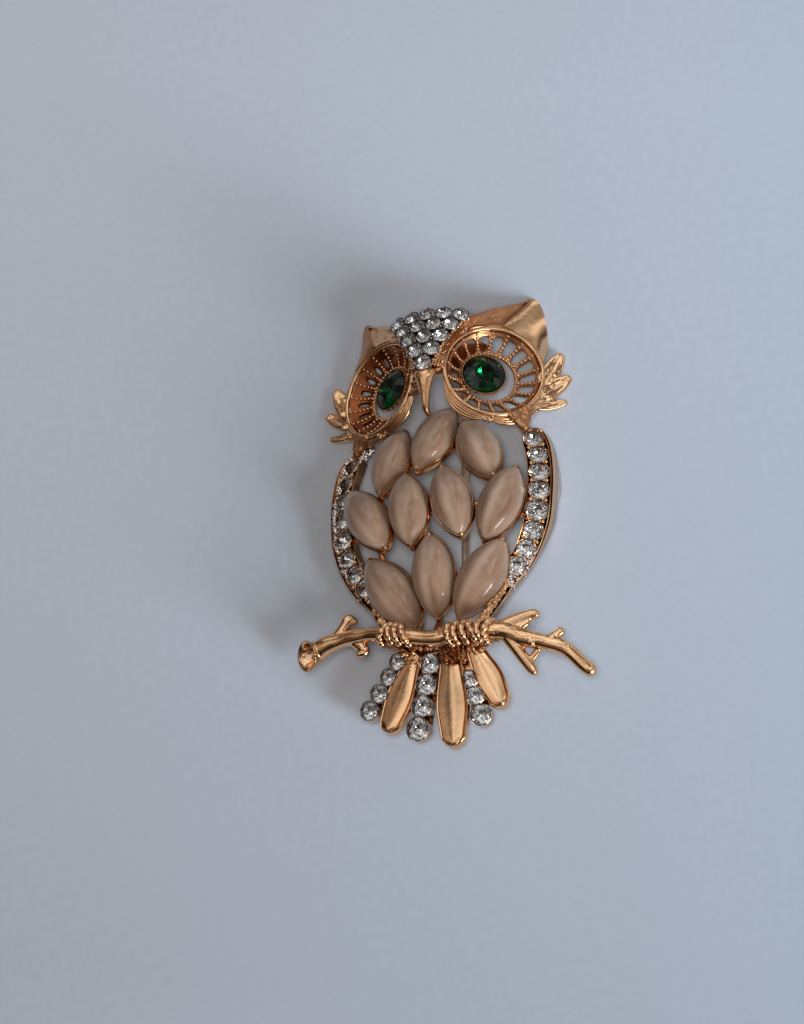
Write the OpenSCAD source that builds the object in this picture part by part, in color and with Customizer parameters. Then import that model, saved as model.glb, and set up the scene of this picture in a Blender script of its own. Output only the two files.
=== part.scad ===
// Owl brooch on a branch: cast and plated alloy, glass cabochons and cut glass stones.
// It lies on its pin back: +Z is the front, +Y the head's end and +X the viewer's right.

/* [Body stones] */
// Length of a small pointed cabochon
cab_l = 10; // [9:0.1:11]
// Width of a small pointed cabochon
cab_w = 5; // [4.5:0.1:5.5]
// Height of a cabochon's dome as a share of half its width
cab_dome = 0.92; // [0.6:0.02:1]
// Thickness of a cabochon's flat foot under its dome
cab_foot = 0.4; // [0.3:0.05:0.8]
// Free space round each stone in its setting
stone_clear = 0.06; // [0.04:0.01:0.1]
// Wall of a cabochon's setting
setting_wall = 0.22; // [0.18:0.02:0.4]
// Ledge that a cabochon rests on
setting_ledge = 0.8; // [0.5:0.1:1]
// Thickness of the ledge under a cabochon
ledge_t = 0.6; // [0.5:0.1:1.2]
// Height of the body's crown above what the brooch lies on
crown_z = 6.6; // [5.8:0.1:8]
// Radius of the body's crown across
crown_rx = 30; // [22:1:50]
// Radius of the body's crown along
crown_ry = 34; // [26:1:60]

/* [Wings] */
// Diameter of a wing stone
wing_stone_d = 2.4; // [2:0.05:2.6]
// Rim on each side of a row of wing stones
wing_rim = 0.2; // [0.15:0.05:0.5]
// Thickness of the wing under its stones
wing_t = 1.1; // [0.9:0.1:1.6]
// How far the polished band outside the stones stands out beyond them
band_w = 0.5; // [0.3:0.05:1]
// Gap between two stones of a row
row_gap = 0.16; // [0.12:0.01:0.2]

/* [Head] */
// Outer diameter of an eye's wire ring
eye_ring_d = 12.8; // [11.5:0.1:14]
// Thickness of the eye's wire ring
eye_wire = 0.55; // [0.4:0.05:0.8]
// Radius of the inner ring that the spokes end on
inner_ring_r = 3.45; // [3.2:0.05:3.7]
// Depth of the inner ring under the wire ring
bowl_depth = 1.75; // [1.4:0.05:2.2]
// Number of spokes in one eye
spokes = 18; // [14:1:22]
// Thickness of a spoke
spoke_w = 0.5; // [0.35:0.05:0.7]
// Diameter of a green eye stone
eye_stone_d = 5.1; // [4.7:0.05:5.4]
// How far the eye stone sits nearer the beak than the ring's centre
eye_stone_in = 1.1; // [0.8:0.05:1.3]
// How far each eye leans outwards, in degrees
eye_turn = 29; // [20:1:36]
// Distance from the middle line to an eye ring's centre
eye_x = 7.4; // [6.8:0.1:8.5]
// Height of an eye ring's centre
eye_z = 5; // [4.6:0.1:6]
// Diameter of a forehead stone
brow_stone_d = 1.95; // [1.7:0.05:2.1]
// Gap between forehead stones
brow_gap = 0.15; // [0.12:0.01:0.25]
// Height of the forehead's crown
brow_z = 10.1; // [9.4:0.1:11]
// Radius of the forehead along
brow_ry = 17; // [12:1:24]
// Radius of the forehead across
brow_rx = 11; // [9:1:16]
// Length of the beak
beak_l = 5; // [4:0.1:6]
// Width of the beak at its root
beak_w = 2; // [1.6:0.1:2.4]
// Thickness of the ears' sheet
ear_t = 0.8; // [0.6:0.1:1.2]

/* [Branch] */
// Length of the branch from end to end
branch_l = 37.4; // [34:0.2:42]
// Thickness of the branch between the claws
branch_d = 1.9; // [1.6:0.1:2.4]
// Height of the branch's middle
branch_z = 7; // [6.4:0.1:8]
// Thickness of a claw
claw_d = 0.95; // [0.7:0.05:1.1]

/* [Tail] */
// Length of the tail's longest feather
tail_l = 9.8; // [8.5:0.1:11]
// Diameter of the largest tail stone
tail_stone_d = 2.5; // [2.2:0.05:2.6]
// Thickness of a tail feather
feather_t = 1.3; // [1.1:0.1:1.8]

/* [Pin back] */
// Diameter of the pin's stem
pin_d = 1.05; // [0.8:0.05:1.3]
// Side of the square block at the pin's hinge
hinge_w = 3.4; // [2.8:0.1:4]
// Side of the square block at the pin's catch
catch_w = 3; // [2.4:0.1:3.6]
// Gap between the casting, the head and the pin's two blocks
seat_gap = 0.1; // [0.06:0.02:0.2]

/* [Hidden] */
// Half the body's width at the wing stones, half its length, and the line of the branch
body_x = 2.54 * cab_w;
body_y = 1.5 * cab_l;
branch_y = -1.16 * body_y;

// Columns: across in cabochon widths, along in cabochon lengths, lean in degrees, size
cab_table = [
    [0, 0.915, 25, 0.97],
    [1.12, 0.705, -24, 0.97],
    [-1.09, 0.69, 15, 0.93],
    [-0.6, -0.03, -4, 0.98],
    [0.5, 0.01, -14, 0.98],
    [1.66, -0.07, 22, 1.03],
    [-1.72, -0.02, -30, 1.01],
    [-1.14, -1.02, -28, 1.1],
    [-0.04, -0.9, 0, 1.04],
    [1.11, -1, 32, 1.11]];
// Pairs of settings that a bar joins on the back
cab_bars = [[0, 1], [0, 2], [0, 3], [0, 4], [1, 4], [1, 5], [2, 3], [2, 6], [3, 4],
    [3, 6], [4, 5], [3, 8], [4, 8], [5, 9], [6, 7], [7, 8], [8, 9]];

// Columns: across in body_x, along in body_y, share of the band, share of the stone row's
// width, rise above the crown in branch_z
wing_table = [
    [0.862, 0.66, 0.3, 0.5, -0.06],
    [0.905, 0.61, 0.5, 0.85, -0.02],
    [0.945, 0.53, 0.7, 1, 0],
    [0.98, 0.41, 0.9, 1, 0],
    [1, 0.239, 1, 1, 0],
    [1, 0.073, 1, 1, 0],
    [0.98, -0.137, 1, 1, 0],
    [0.93, -0.305, 0.85, 0.98, 0],
    [0.855, -0.46, 0.5, 0.95, 0],
    [0.745, -0.61, 0.28, 0.88, 0.02],
    [0.645, -0.75, 0.15, 0.62, 0.08],
    [0.57, -0.88, 0.1, 0.5, 0.2],
    [0.505, -1, 0.08, 0.42, 0.36],
    [0.45, -1.09, 0.06, 0.36, 0.5]];
// Each wing stone's diameter in wing_stone_d, from the head down
wing_sizes = [0.92, 0.95, 0.98, 1.02, 1.12, 0.98, 0.93, 0.9];
// Where the first wing stone lies on its row, in body_y, and the row of wing_table that the
// stones end before
wing_row_start = 0.112;
wing_row_end = 9.35;

// Columns: along in half branch lengths, towards the head in branch_d, rise in branch_z,
// radius in branch_d
branch_table = [
    [-0.945, 0.46, 0.56, 0.86],
    [-0.86, 0.58, 0.65, 0.7],
    [-0.75, 0.8, 0.73, 0.56],
    [-0.63, 0.88, 0.8, 0.45],
    [-0.46, 0.8, 0.9, 0.43],
    [-0.25, 0.3, 1, 0.47],
    [0, -0.35, 1.02, 0.5],
    [0.22, -0.35, 1.02, 0.52],
    [0.47, -0.45, 0.95, 0.56],
    [0.6, -1, 0.88, 0.5],
    [0.76, -1.47, 0.81, 0.47],
    [0.88, -2, 0.76, 0.45],
    [1.02, -3.35, 0.66, 0.42],
    [1.06, -3.7, 0.64, 0.2]];
// Twigs, columns as above, each from its root to its tip
twig_table = [
    [[-0.7, 0.85, 0.76, 0.3], [-0.62, 1.75, 0.79, 0.3], [-0.585, 2.25, 0.79, 0.3]],
    [[-0.56, 0.7, 0.8, 0.28], [-0.5, -0.05, 0.79, 0.32], [-0.48, -0.2, 0.78, 0.22]],
    [[0.42, -0.3, 0.94, 0.42], [0.55, 0.2, 0.9, 0.34], [0.66, 0.5, 0.87, 0.3],
        [0.71, 0.62, 0.86, 0.15]],
    [[0.775, -1.4, 0.81, 0.34], [0.83, -0.95, 0.8, 0.24], [0.855, -0.78, 0.79, 0.18]],
    [[0.5, -0.7, 0.92, 0.42], [0.57, -1.8, 0.83, 0.36], [0.63, -2.75, 0.74, 0.33],
        [0.655, -3.15, 0.71, 0.2]],
    [[0.625, -2.6, 0.75, 0.22], [0.68, -1.95, 0.76, 0.22], [0.7, -1.65, 0.76, 0.12]]];
// Claws: their places along the branch, in half branch lengths
claw_table = [-0.335, -0.265, -0.195, 0.14, 0.215, 0.29];

// Feathers, columns: root across and along, tip across and along, all in tail_l, then the
// half widths at the root and the tip in tail_stone_d
tail_table = [
    [-0.42, -0.05, -0.92, -0.67, 0.5, 0.56],
    [-0.26, -0.12, -0.64, -0.85, 0.42, 0.6],
    [-0.04, -0.14, -0.29, -1.01, 0.58, 0.68],
    [0.2, -0.18, 0.16, -1.12, 0.5, 0.66],
    [0.36, -0.24, 0.53, -0.94, 0.5, 0.58],
    [0.5, -0.1, 0.75, -0.72, 0.42, 0.58]];
// Tail stones, columns: the feather, and each stone's diameter in tail_stone_d from the root
tail_stones = [[0, [0.76, 0.8, 0.88, 0.9]], [2, [0.94, 1, 1, 1.1]], [4, [0.78, 0.86, 0.98]]];

// The eye's frame: share of body_y along, nod in degrees, and its ring's radius
eye_y = 1.173 * body_y;
eye_nod = 4.6;
eye_r = eye_ring_d / 2;
// The ear's outline in ring radii: across, along and up in the eye's frame, and how much
// nearer the beak the left ear is
ear_brow = [
    [-0.745, 0.9, 0.2, 0],
    [-0.31, 1.2, 0.1, 0],
    [0.61, 1.7, -0.16, 0.02],
    [0.83, 1.8, -0.19, 0.06]];
ear_side = [
    [0.83, 1.8, -0.19, 0.06],
    [0.96, 1.62, -0.15, 0.16],
    [1.04, 1.22, -0.11, 0.22],
    [1.06, 0.68, -0.13, 0.1]];
ear_fold = [0.21, 1, 0, 0];
// Angles on the ring that the two panels of the ear spring from
ear_roots = [[128, 108], [70, 45, 18]];
// Tufts in ring radii, columns: root, tip, half width
tuft_table = [
    [[1.0, -0.12, -0.04], [1.32, 0.47, 0.02], 0.16],
    [[0.97, -0.4, -0.05], [1.46, -0.05, 0.06], 0.15],
    [[0.85, -0.66, -0.08], [1.4, -0.56, -0.02], 0.1]];
// Ridged feathers under an eye: their section's points, out and up in ring radii
ridge_section = [[0.97, -0.15], [1, -0.03], [1.045, -0.1], [1.08, -0.05], [1.12, -0.15],
    [1.155, -0.11], [1.19, -0.22], [1.1, -0.26]];
// The two bundles of ridges, columns: first and last angle on the ring, width
ridge_table = [[198, 266, 0.6], [260, 334, 1]];

// The pin's line, its hinge and its catch
pin_x = 0.182 * body_x;
pin_z = 1.1;
hinge_y = 1.42 * body_y;
hinge_z = 2.2;
catch_y = branch_y - 0.3 * branch_d;
catch_z = 4;
// The head's two seats, at the tops of the wings
neck_x = 0.86 * body_x;
neck_y = 0.665 * body_y;
neck_r = 0.6;
neck_rise = 0.3;

// The part's origin is under the middle of its outline
left_x = -(0.945 * branch_l / 2 + 0.45 * branch_d);
right_x = 1.06 * branch_l / 2 + 0.12 * branch_d;
top_y = eye_y + 1.85 * eye_r;
bottom_y = branch_y - 0.5 * branch_d - 1.12 * tail_l - 0.66 * tail_stone_d;
origin = [(left_x + right_x) / 2, (top_y + bottom_y) / 2, 0];

gold = [0.86, 0.62, 0.42];
honey = [0.78, 0.66, 0.55];
emerald = [0.02, 0.22, 0.12];
crystal = [0.85, 0.86, 0.88];

// A wing's row holds as many stones as it has room for
wing_room = mix(wing_length(floor(wing_row_end)), wing_length(ceil(wing_row_end)),
    wing_row_end - floor(wing_row_end));
wing_stones = [for (i = [0 : len(wing_sizes) - 1])
    if (wing_stone_s(i) + wing_stone_d * wing_sizes[i] / 2 < wing_room) i];

function two_digits(i) = str(i < 10 ? "0" : "", i);
cab_names = [for (i = [1 : len(cab_table)]) str("cabochon_", two_digits(i))];
wing_names = [for (side = ["left", "right"], i = wing_stones) str("wing_stone_", side, "_", i + 1)];
tail_names = [for (row = tail_stones, i = [1 : len(row[1])]) str("tail_stone_", row[0] + 1, "_", i)];

// Vectors, and places on the body's crown
function unit(v) = v / norm(v);
function mix(a, b, share) = a + (b - a) * share;
function crown(x, y) = crown_z - x * x / (2 * crown_rx) - y * y / (2 * crown_ry);
function crown_at(x, y) = [x, y, crown(x, y)];
function sum(list, count) = count <= 0 ? 0 : list[count - 1] + sum(list, count - 1);

module on_crown(x, y, lean = 0)
    translate(crown_at(x, y))
        rotate([-atan(y / crown_ry), atan(x / crown_rx), 0])
            rotate([0, 0, -lean])
                children();

module both_sides() {
    let ($left = 0) children();
    let ($left = 1) mirror([1, 0, 0]) children();
}

// A closed skin over rings of points that all have the same number of points
module skin(rings) {
    n = len(rings[0]);
    last = len(rings) - 1;
    points = [for (ring = rings, p = ring) p];
    sides = [for (i = [0 : last - 1], j = [0 : n - 1]) let (k = (j + 1) % n)
        each [[i * n + j, i * n + k, i * n + n + k], [i * n + j, i * n + n + k, i * n + n + j]]];
    ends = [[for (j = [n - 1 : -1 : 0]) j], [for (j = [0 : n - 1]) last * n + j]];
    polyhedron(points, concat(sides, ends));
}

// A rod along a path, with an oval section of half width a and half height b at each point
function heading(path, i) = unit(path[min(i + 1, len(path) - 1)] - path[max(i - 1, 0)]);
function oval(p, dir, up, a, b, n) = let (s = unit(cross(dir, up)), t = cross(s, dir))
    [for (k = [0 : n - 1]) p + a * cos(360 * k / n) * s + b * sin(360 * k / n) * t];
module rod(path, sizes, up = [0, 0, 1], n = 8)
    skin([for (i = [0 : len(path) - 1])
        oval(path[i], heading(path, i), up, sizes[i][0], sizes[i][1], n)]);

module ball(p, r, n = 8)
    translate(p) sphere(r, $fn = n);

// The outline round a pointed oval: each side is an arc, and its flats touch the arc
oval_flats = 5;
function arc_radius(l, w) = (l * l / 4 + w * w / 4) / w;
function arc_side(l, w) = let (r = arc_radius(l, w), a = asin(l / 2 / r), far = r / cos(a / oval_flats))
    [for (i = [0 : oval_flats]) let (t = a - 2 * a * i / oval_flats)
        [w / 2 - r + far * cos(t), far * sin(t)]];
function pointed_oval(l, w) = let (side = arc_side(l, w)) concat(side, -side);

// Metres along the wing's row of stones, as points of the table
function wing_point(i) = [wing_table[i][0] * body_x, wing_table[i][1] * body_y];
function wing_length(i) = i <= 0 ? 0 : wing_length(i - 1) + norm(wing_point(i) - wing_point(i - 1));
function wing_find(s, i = 0) = i >= len(wing_table) - 2 || wing_length(i + 1) > s ? i : wing_find(s, i + 1);
function wing_at(s) = let (i = wing_find(s))
    mix(wing_point(i), wing_point(i + 1), (s - wing_length(i)) / (wing_length(i + 1) - wing_length(i)));
function wing_stone_s(i) = wing_row_start * body_y
    + wing_stone_d * (sum(wing_sizes, i) + wing_sizes[i] / 2 - wing_sizes[0] / 2) + i * row_gap;

// One ring of the wing's skin: the stones' channel, then the polished band down to the ground
function wing_place(i) = crown_at(wing_point(i)[0], wing_point(i)[1]) + [0, 0, wing_table[i][4] * branch_z];
function wing_ring(i) = let (
        p = wing_place(i),
        way = wing_point(min(i + 1, len(wing_table) - 1)) - wing_point(max(i - 1, 0)),
        out = unit([-way[1], way[0], 0]),
        lean = atan(p[0] / crown_rx),
        u = out * cos(lean) - [0, 0, sin(lean)],
        v = out * sin(lean) + [0, 0, cos(lean)],
        r = (wing_stone_d / 2 + wing_rim) * wing_table[i][3],
        share = wing_table[i][2],
        stand = band_w * share,
        down = -p[2] * share - (1 - share) * wing_t,
        up = [0, 0, 1])
    [p - u * r - v * wing_t, p - u * r + v * 0.12, p + u * r + v * 0.08,
     p + out * (r + stand * 0.7) + up * (-0.25 * p[2] * share - 0.3),
     p + out * (r + stand) + up * down * 0.7,
     p + out * (r + stand * 0.8) + up * down,
     p + out * (r - 0.5) + up * down,
     p + out * (r - 0.7) + up * min(down * 0.55, -wing_t - 0.3)];

function neck_z() = crown(neck_x, neck_y) + neck_rise;

module wing() {
    skin([for (i = [0 : len(wing_table) - 1]) wing_ring(i)]);
    translate([neck_x, neck_y, neck_z() - seat_gap - wing_t])
        cylinder(wing_t, neck_r, neck_r, $fn = 8);
}

module at_wing_stone(i) {
    p = wing_at(wing_stone_s(i));
    on_crown(p[0], p[1]) translate([0, 0, 0.05]) children();
}

// A round stone with a table and eight or more main facets, its girdle at z = 0
crown_share = 0.2;
girdle_share = 0.06;
pavilion_share = 0.3;
table_share = 0.58;
stone_turn = 9;
module cut_stone(d, n = 8)
    rotate(stone_turn) hull() {
        translate([0, 0, girdle_share * d]) cylinder(crown_share * d, d / 2, table_share * d / 2, $fn = n);
        translate([0, 0, -pavilion_share * d]) cylinder(pavilion_share * d, 0, d / 2, $fn = n);
    }

// The space that a round stone needs in its setting
module stone_pocket(d, n = 8) {
    c = stone_clear;
    deep = pavilion_share * (d + 4 * c);
    rotate(stone_turn) hull() {
        cylinder(d, d / 2 + c, d / 2 + c, $fn = n);
        translate([0, 0, -deep]) cylinder(deep, 0, d / 2 + c, $fn = n);
    }
}

// A pointed cabochon: half a spindle on a flat foot, its foot's underside at z = 0
function cab_size(i) = [cab_l, cab_w] * cab_table[i][3];
function cab_x(i) = cab_table[i][0] * cab_w;
function cab_y(i) = cab_table[i][1] * cab_l;
module at_cabochon(i)
    on_crown(cab_x(i), cab_y(i), cab_table[i][2]) children();

module cabochon(i) {
    l = cab_size(i)[0];
    w = cab_size(i)[1];
    r = arc_radius(l, w);
    rise = cab_dome * w / 2;
    color(honey) at_cabochon(i) {
        linear_extrude(cab_foot) intersection() {
            translate([w / 2 - r, 0]) circle(r);
            translate([r - w / 2, 0]) circle(r);
        }
        intersection() {
            translate([0, 0, cab_foot - w / 2 + rise]) rotate([90, 0, 0]) rotate_extrude() intersection() {
                translate([w / 2 - r, 0]) circle(r);
                translate([0, -l / 2]) square([w, l]);
            }
            translate([-w, -l, cab_foot]) cube([2 * w, 2 * l, w]);
        }
    }
}

// How far a wall adds to the oval's length, in walls: its tips stand further out than its sides
tip_share = 2.6;
module cabochon_setting(i) {
    l = cab_size(i)[0];
    w = cab_size(i)[1];
    out = stone_clear + setting_wall;
    at_cabochon(i) difference() {
        translate([0, 0, -ledge_t - stone_clear])
            linear_extrude(ledge_t + stone_clear + cab_foot)
                polygon(pointed_oval(l + tip_share * out, w + 2 * out));
        translate([0, 0, -2 * ledge_t])
            linear_extrude(3 * ledge_t)
                polygon(pointed_oval(l - tip_share * setting_ledge, w - 2 * setting_ledge));
    }
}

// The space above a cabochon's ledge
module cabochon_space(i)
    at_cabochon(i) translate([0, 0, -stone_clear]) linear_extrude(cab_size(i)[1])
        polygon(pointed_oval(cab_size(i)[0] + tip_share * stone_clear, cab_size(i)[1] + 2 * stone_clear));

// A bar through two ledges
function under_setting(i) = crown_at(cab_x(i), cab_y(i)) - [0, 0, ledge_t / 2 + 0.1];
module back_bar(a, b, r = 0.42)
    rod([a, b], [[r, r], [r, r]], n = 4);

// The branch's points, and its rods
function branch_point(row) = [row[0] * branch_l / 2, branch_y + row[1] * branch_d, row[2] * branch_z];
function branch_size(row) = [row[3], row[3]] * branch_d;
module branch_rod(table, n = 6)
    rod([for (row = table) branch_point(row)], [for (row = table) branch_size(row)], n = n);
function branch_find(share, i = 0) =
    i >= len(branch_table) - 2 || branch_table[i + 1][0] > share ? i : branch_find(share, i + 1);
function branch_row(share) = let (i = branch_find(share), a = branch_table[i], b = branch_table[i + 1])
    mix(a, b, (share - a[0]) / (b[0] - a[0]));

module branch() {
    end = branch_point(branch_table[0]);
    next = branch_point(branch_table[1]);
    difference() {
        branch_rod(branch_table, 8);
        hull() {
            ball(end + unit(end - next) * 0.6, branch_table[0][3] * branch_d * 0.78);
            ball(mix(end, next, 0.7), 0.3);
        }
    }
    for (table = twig_table)
        branch_rod(table);
}

// A claw goes over the branch from its back to its front
module claw(share) {
    row = branch_row(share);
    r = row[3] * branch_d + 0.32 * claw_d;
    turns = [8, 40, 72, 104, 138, 172];
    fat = [0.34, 0.5, 0.44, 0.5, 0.44, 0.34] * claw_d;
    rod([for (t = turns) branch_point(row) + r * [0, cos(t), sin(t)]],
        [for (f = fat) [f, f]], [1, 0, 0], 5);
}

// The tail's height falls towards its tips and its sides
function tail_place(x, y) = let (px = x * tail_l)
    [px, branch_y - 0.5 * branch_d + y * tail_l,
     0.83 * branch_z + 0.22 * (y + 0.25) * tail_l - 0.01 * px * px];
function feather_root(f) = tail_place(tail_table[f][0], tail_table[f][1]);
function feather_tip(f) = tail_place(tail_table[f][2], tail_table[f][3]);
function feather_size(f, share) = tail_stone_d * mix(tail_table[f][4], tail_table[f][5], share);

// A tail stone lies on its feather's line, a gap from the one before it and its edge off the tip
function tail_stone_s(row, i) = let (sizes = row[1], f = row[0], n = len(sizes))
    norm(feather_tip(f) - feather_root(f))
    - (sum(sizes, n) - sum(sizes, i) - sizes[i] / 2 - sizes[n - 1] / 2) * tail_stone_d
    - (n - 1 - i) * row_gap;
function tail_stone_at(row, i) = let (f = row[0], a = feather_root(f), b = feather_tip(f))
    a + unit(b - a) * tail_stone_s(row, i);

module on_feather(f) {
    way = feather_tip(f) - feather_root(f);
    rotate([0, 0, atan2(way[1], way[0]) + 90])
        rotate([asin(-way[2] / norm(way)), 0, 0])
            children();
}

module feather(f) {
    root = feather_size(f, 0);
    tip = feather_size(f, 1);
    a = feather_root(f);
    b = feather_tip(f);
    hull()
        for (p = [[0, root], [0.6, tip * 1.05], [1, tip]])
            translate(mix(a, b, p[0]) + [0, 0, 0.15 - feather_t]) cylinder(feather_t, p[1], p[1], $fn = 8);
}

module tail() {
    for (f = [0 : len(tail_table) - 1])
        feather(f);
    hull() {
        ball(feather_root(0) + [1, 0.6, -0.6], 0.7, 6);
        ball(feather_root(5) + [-1, 0.6, -0.6], 0.7, 6);
        ball(branch_point(branch_row(-0.2)) - [0, 0.1, 0.4], 0.7, 6);
        ball(branch_point(branch_row(0.3)) - [0, 0.1, 0.4], 0.7, 6);
    }
    // The boss over the pin's catch
    translate([pin_x, catch_y, catch_z + seat_gap]) cylinder(1.8, 1.2, 1.2, $fn = 10);
}

// The space of every stone that the body holds
module body_stone_spaces() {
    for (i = [0 : len(cab_table) - 1])
        cabochon_space(i);
    both_sides()
        for (i = wing_stones)
            at_wing_stone(i) stone_pocket(wing_stone_d * wing_sizes[i]);
    for (row = tail_stones, i = [0 : len(row[1]) - 1])
        translate(tail_stone_at(row, i)) on_feather(row[0]) stone_pocket(tail_stone_d * row[1][i]);
}

// A setting's lower tip
function cab_tip(i) = let (l = cab_size(i)[0] / 2, a = cab_table[i][2])
    crown_at(cab_x(i) - l * sin(a), cab_y(i) - l * cos(a)) - [0, 0, ledge_t / 2];

module owl_body()
    color(gold) difference() {
        union() {
            both_sides() wing();
            for (i = [0 : len(cab_table) - 1])
                cabochon_setting(i);
            for (pair = cab_bars) {
                a = under_setting(pair[0]);
                b = under_setting(pair[1]);
                back_bar(mix(a, b, 0.3), mix(a, b, 0.7));
            }
            // Bars from the outer settings to the wings
            for (pair = [[5, 6], [6, 6], [7, 9], [9, 9]]) {
                a = under_setting(pair[0]);
                w = wing_place(pair[1]);
                b = [sign(a[0]) * w[0], w[1], w[2] - 0.6];
                back_bar(mix(a, b, 0.35), b);
            }
            branch();
            for (share = claw_table)
                claw(share);
            tail();
            // The legs: from the three lowest settings down to the branch
            for (leg = [[7, -0.2], [8, 0.02], [9, 0.2]])
                hull() {
                    ball(cab_tip(leg[0]), 0.45, 6);
                    ball(branch_point(branch_row(leg[1])) - [0, 0, 0.2], 0.6, 6);
                }
        }
        body_stone_spaces();
    }

// The eye's frame: x away from the beak, y towards the ear, z out of the bowl
module in_eye()
    translate([eye_x, eye_y, eye_z]) rotate([-eye_nod, eye_turn, 0]) children();
function ring_point(angle, r = 1, z = 0) = [r * cos(angle), r * sin(angle), z] * eye_r;
function eye_to_part(p) = let (z = p[2] * cos(eye_nod) - p[1] * sin(eye_nod))
    [eye_x + p[0] * cos(eye_turn) + z * sin(eye_turn),
     eye_y + p[1] * cos(eye_nod) + p[2] * sin(eye_nod),
     eye_z - p[0] * sin(eye_turn) + z * cos(eye_turn)];

inner_in = 0.36 * eye_stone_in;
module eye_bowl() {
    rim = eye_r - eye_wire / 2;
    w = eye_wire / 2;
    rotate_extrude($fn = 24)
        polygon([[rim + w, 0], [rim, w], [rim - w, 0], [rim - 0.65, -0.6], [rim - 0.25, -0.75]]);
    translate([-inner_in, 0, -bowl_depth]) rotate_extrude($fn = 18)
        translate([inner_ring_r, 0]) circle(spoke_w * 0.65, $fn = 4);
    for (k = [0 : spokes - 1]) {
        t = 360 * (k + 0.5) / spokes;
        a = [(rim - 0.4) * cos(t), (rim - 0.4) * sin(t), -0.4];
        b = [inner_ring_r * cos(t) - inner_in, inner_ring_r * sin(t), -bowl_depth];
        rod([a, b], [[spoke_w / 2, spoke_w / 2], [spoke_w / 2, spoke_w / 2]], [0, 0, 1], 4);
    }
}

// The cup that holds the green stone, tied to the inner ring on the beak's side
eye_girdle = -0.55 * bowl_depth;
module eye_cup() {
    r = eye_stone_d / 2 + stone_clear;
    floor = pavilion_share * eye_stone_d;
    difference() {
        hull() {
            translate([0, 0, eye_girdle - 0.1]) cylinder(0.3, r + 0.25, r + 0.25, $fn = 16);
            translate([0, 0, eye_girdle - floor - 0.35]) cylinder(0.3, 1, 1, $fn = 8);
        }
        hull() {
            translate([0, 0, eye_girdle]) cylinder(3, r / cos(11.25), r / cos(11.25), $fn = 16);
            translate([0, 0, eye_girdle - floor - stone_clear]) cylinder(0.1, 0.4, 0.4, $fn = 8);
        }
    }
}

// Ties between the cup and the inner ring
module eye_ties()
    for (t = [150, 180, 210])
        rod([[inner_ring_r * cos(t) - inner_in, inner_ring_r * sin(t), -bowl_depth],
            [0.6 * inner_ring_r * cos(t) - eye_stone_in, 0.6 * inner_ring_r * sin(t), -bowl_depth + 0.1]],
            [[0.4, 0.4], [0.4, 0.4]], n = 4);

module at_eye_stone()
    in_eye() translate([-eye_stone_in, 0, 0]) children();

module ear()
    for (panel = [[ear_brow, ear_roots[0]], [ear_side, ear_roots[1]]])
        hull() {
            for (p = concat(panel[0], [ear_fold]))
                ball([p[0] - $left * p[3], p[1], p[2]] * eye_r, ear_t / 2, 6);
            for (a = panel[1]) ball(ring_point(a, 0.99, -0.05), ear_t / 2, 6);
        }

// A tuft is a flat leaf that curls up to its tip
module tuft(root, tip, w) {
    lift = [0, 0, -0.04];
    line = [root, mix(root, tip, 0.35) + lift, mix(root, tip, 0.7) + lift, tip];
    rod([for (p = line) p * eye_r],
        [for (s = [0.9, 1, 0.75, 0.25]) [w * s, 0.055 * s + 0.02] * eye_r], n = 6);
}

// A bundle of three ridges round the ring, slimmer at both ends
module ridge(row) {
    slim = [0.35, 0.9, 1, 0.9, 0.35];
    last = len(slim) - 1;
    skin([for (i = [last : -1 : 0]) let (a = mix(row[0], row[1], i / last))
        [for (p = ridge_section) ring_point(a, 1 + (p[0] - 1) * slim[i] * row[2], p[1] * slim[i])]]);
}

// Places on the forehead: along its arc from the lowest stone, and across from the middle line
brow_y = 1.183 * body_y;
brow_rows = 5;
brow_pitch = brow_stone_d + brow_gap;
brow_step = brow_pitch * 0.89;
function brow_along(row) = row * brow_step / brow_ry * 180 / PI;
function brow_across(row, i) = (i - row / 2) * brow_pitch / brow_rx * 180 / PI;
module at_brow(row, i) {
    translate([0, brow_y, brow_z - brow_ry]) rotate([-brow_along(row), 0, 0])
        translate([0, 0, brow_ry - brow_rx]) rotate([0, brow_across(row, i), 0])
            translate([0, 0, brow_rx]) children();
}

// The forehead's plate, one ring for each row of stones and one beyond each end
brow_edge = 0.6;
brow_t = 1.1;
function brow_skin_row(k) = k == 0 ? -brow_edge : k > brow_rows ? brow_rows - 1 + brow_edge : k - 1;
function brow_half(row) = max(row, 0) / 2 + (row < 0 ? 0.35 : brow_edge);
function brow_on(row, c, drop) = let (a = brow_along(row), b = c * brow_pitch / brow_rx * 180 / PI,
        h = brow_ry - brow_rx + (brow_rx - drop) * cos(b))
    [(brow_rx - drop) * sin(b), brow_y + h * sin(a), brow_z - brow_ry + h * cos(a)];
module forehead()
    skin([for (k = [brow_rows + 1 : -1 : 0]) let (row = brow_skin_row(k), half = brow_half(row))
        concat([for (c = [-1, -0.5, 0, 0.5, 1]) brow_on(row, c * half, 0)],
            [for (c = [0.9, 0, -0.9]) brow_on(row, c * half, brow_t)])]);
module forehead_spaces()
    for (row = [0 : brow_rows - 1], i = [0 : row])
        at_brow(row, i) stone_pocket(brow_stone_d);

// The slope from the forehead's edge down to the ring
brow_wall_angles = [180, 160, 146, 134, 124];
module brow_wall()
    for (row = [0 : brow_rows - 2])
        hull()
            for (k = [row, row + 1]) {
                ball(brow_on(k, k / 2 + 0.4, 0.6), 0.4, 6);
                ball(eye_to_part(ring_point(brow_wall_angles[k], 0.97, 0)), 0.35, 6);
            }

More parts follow.
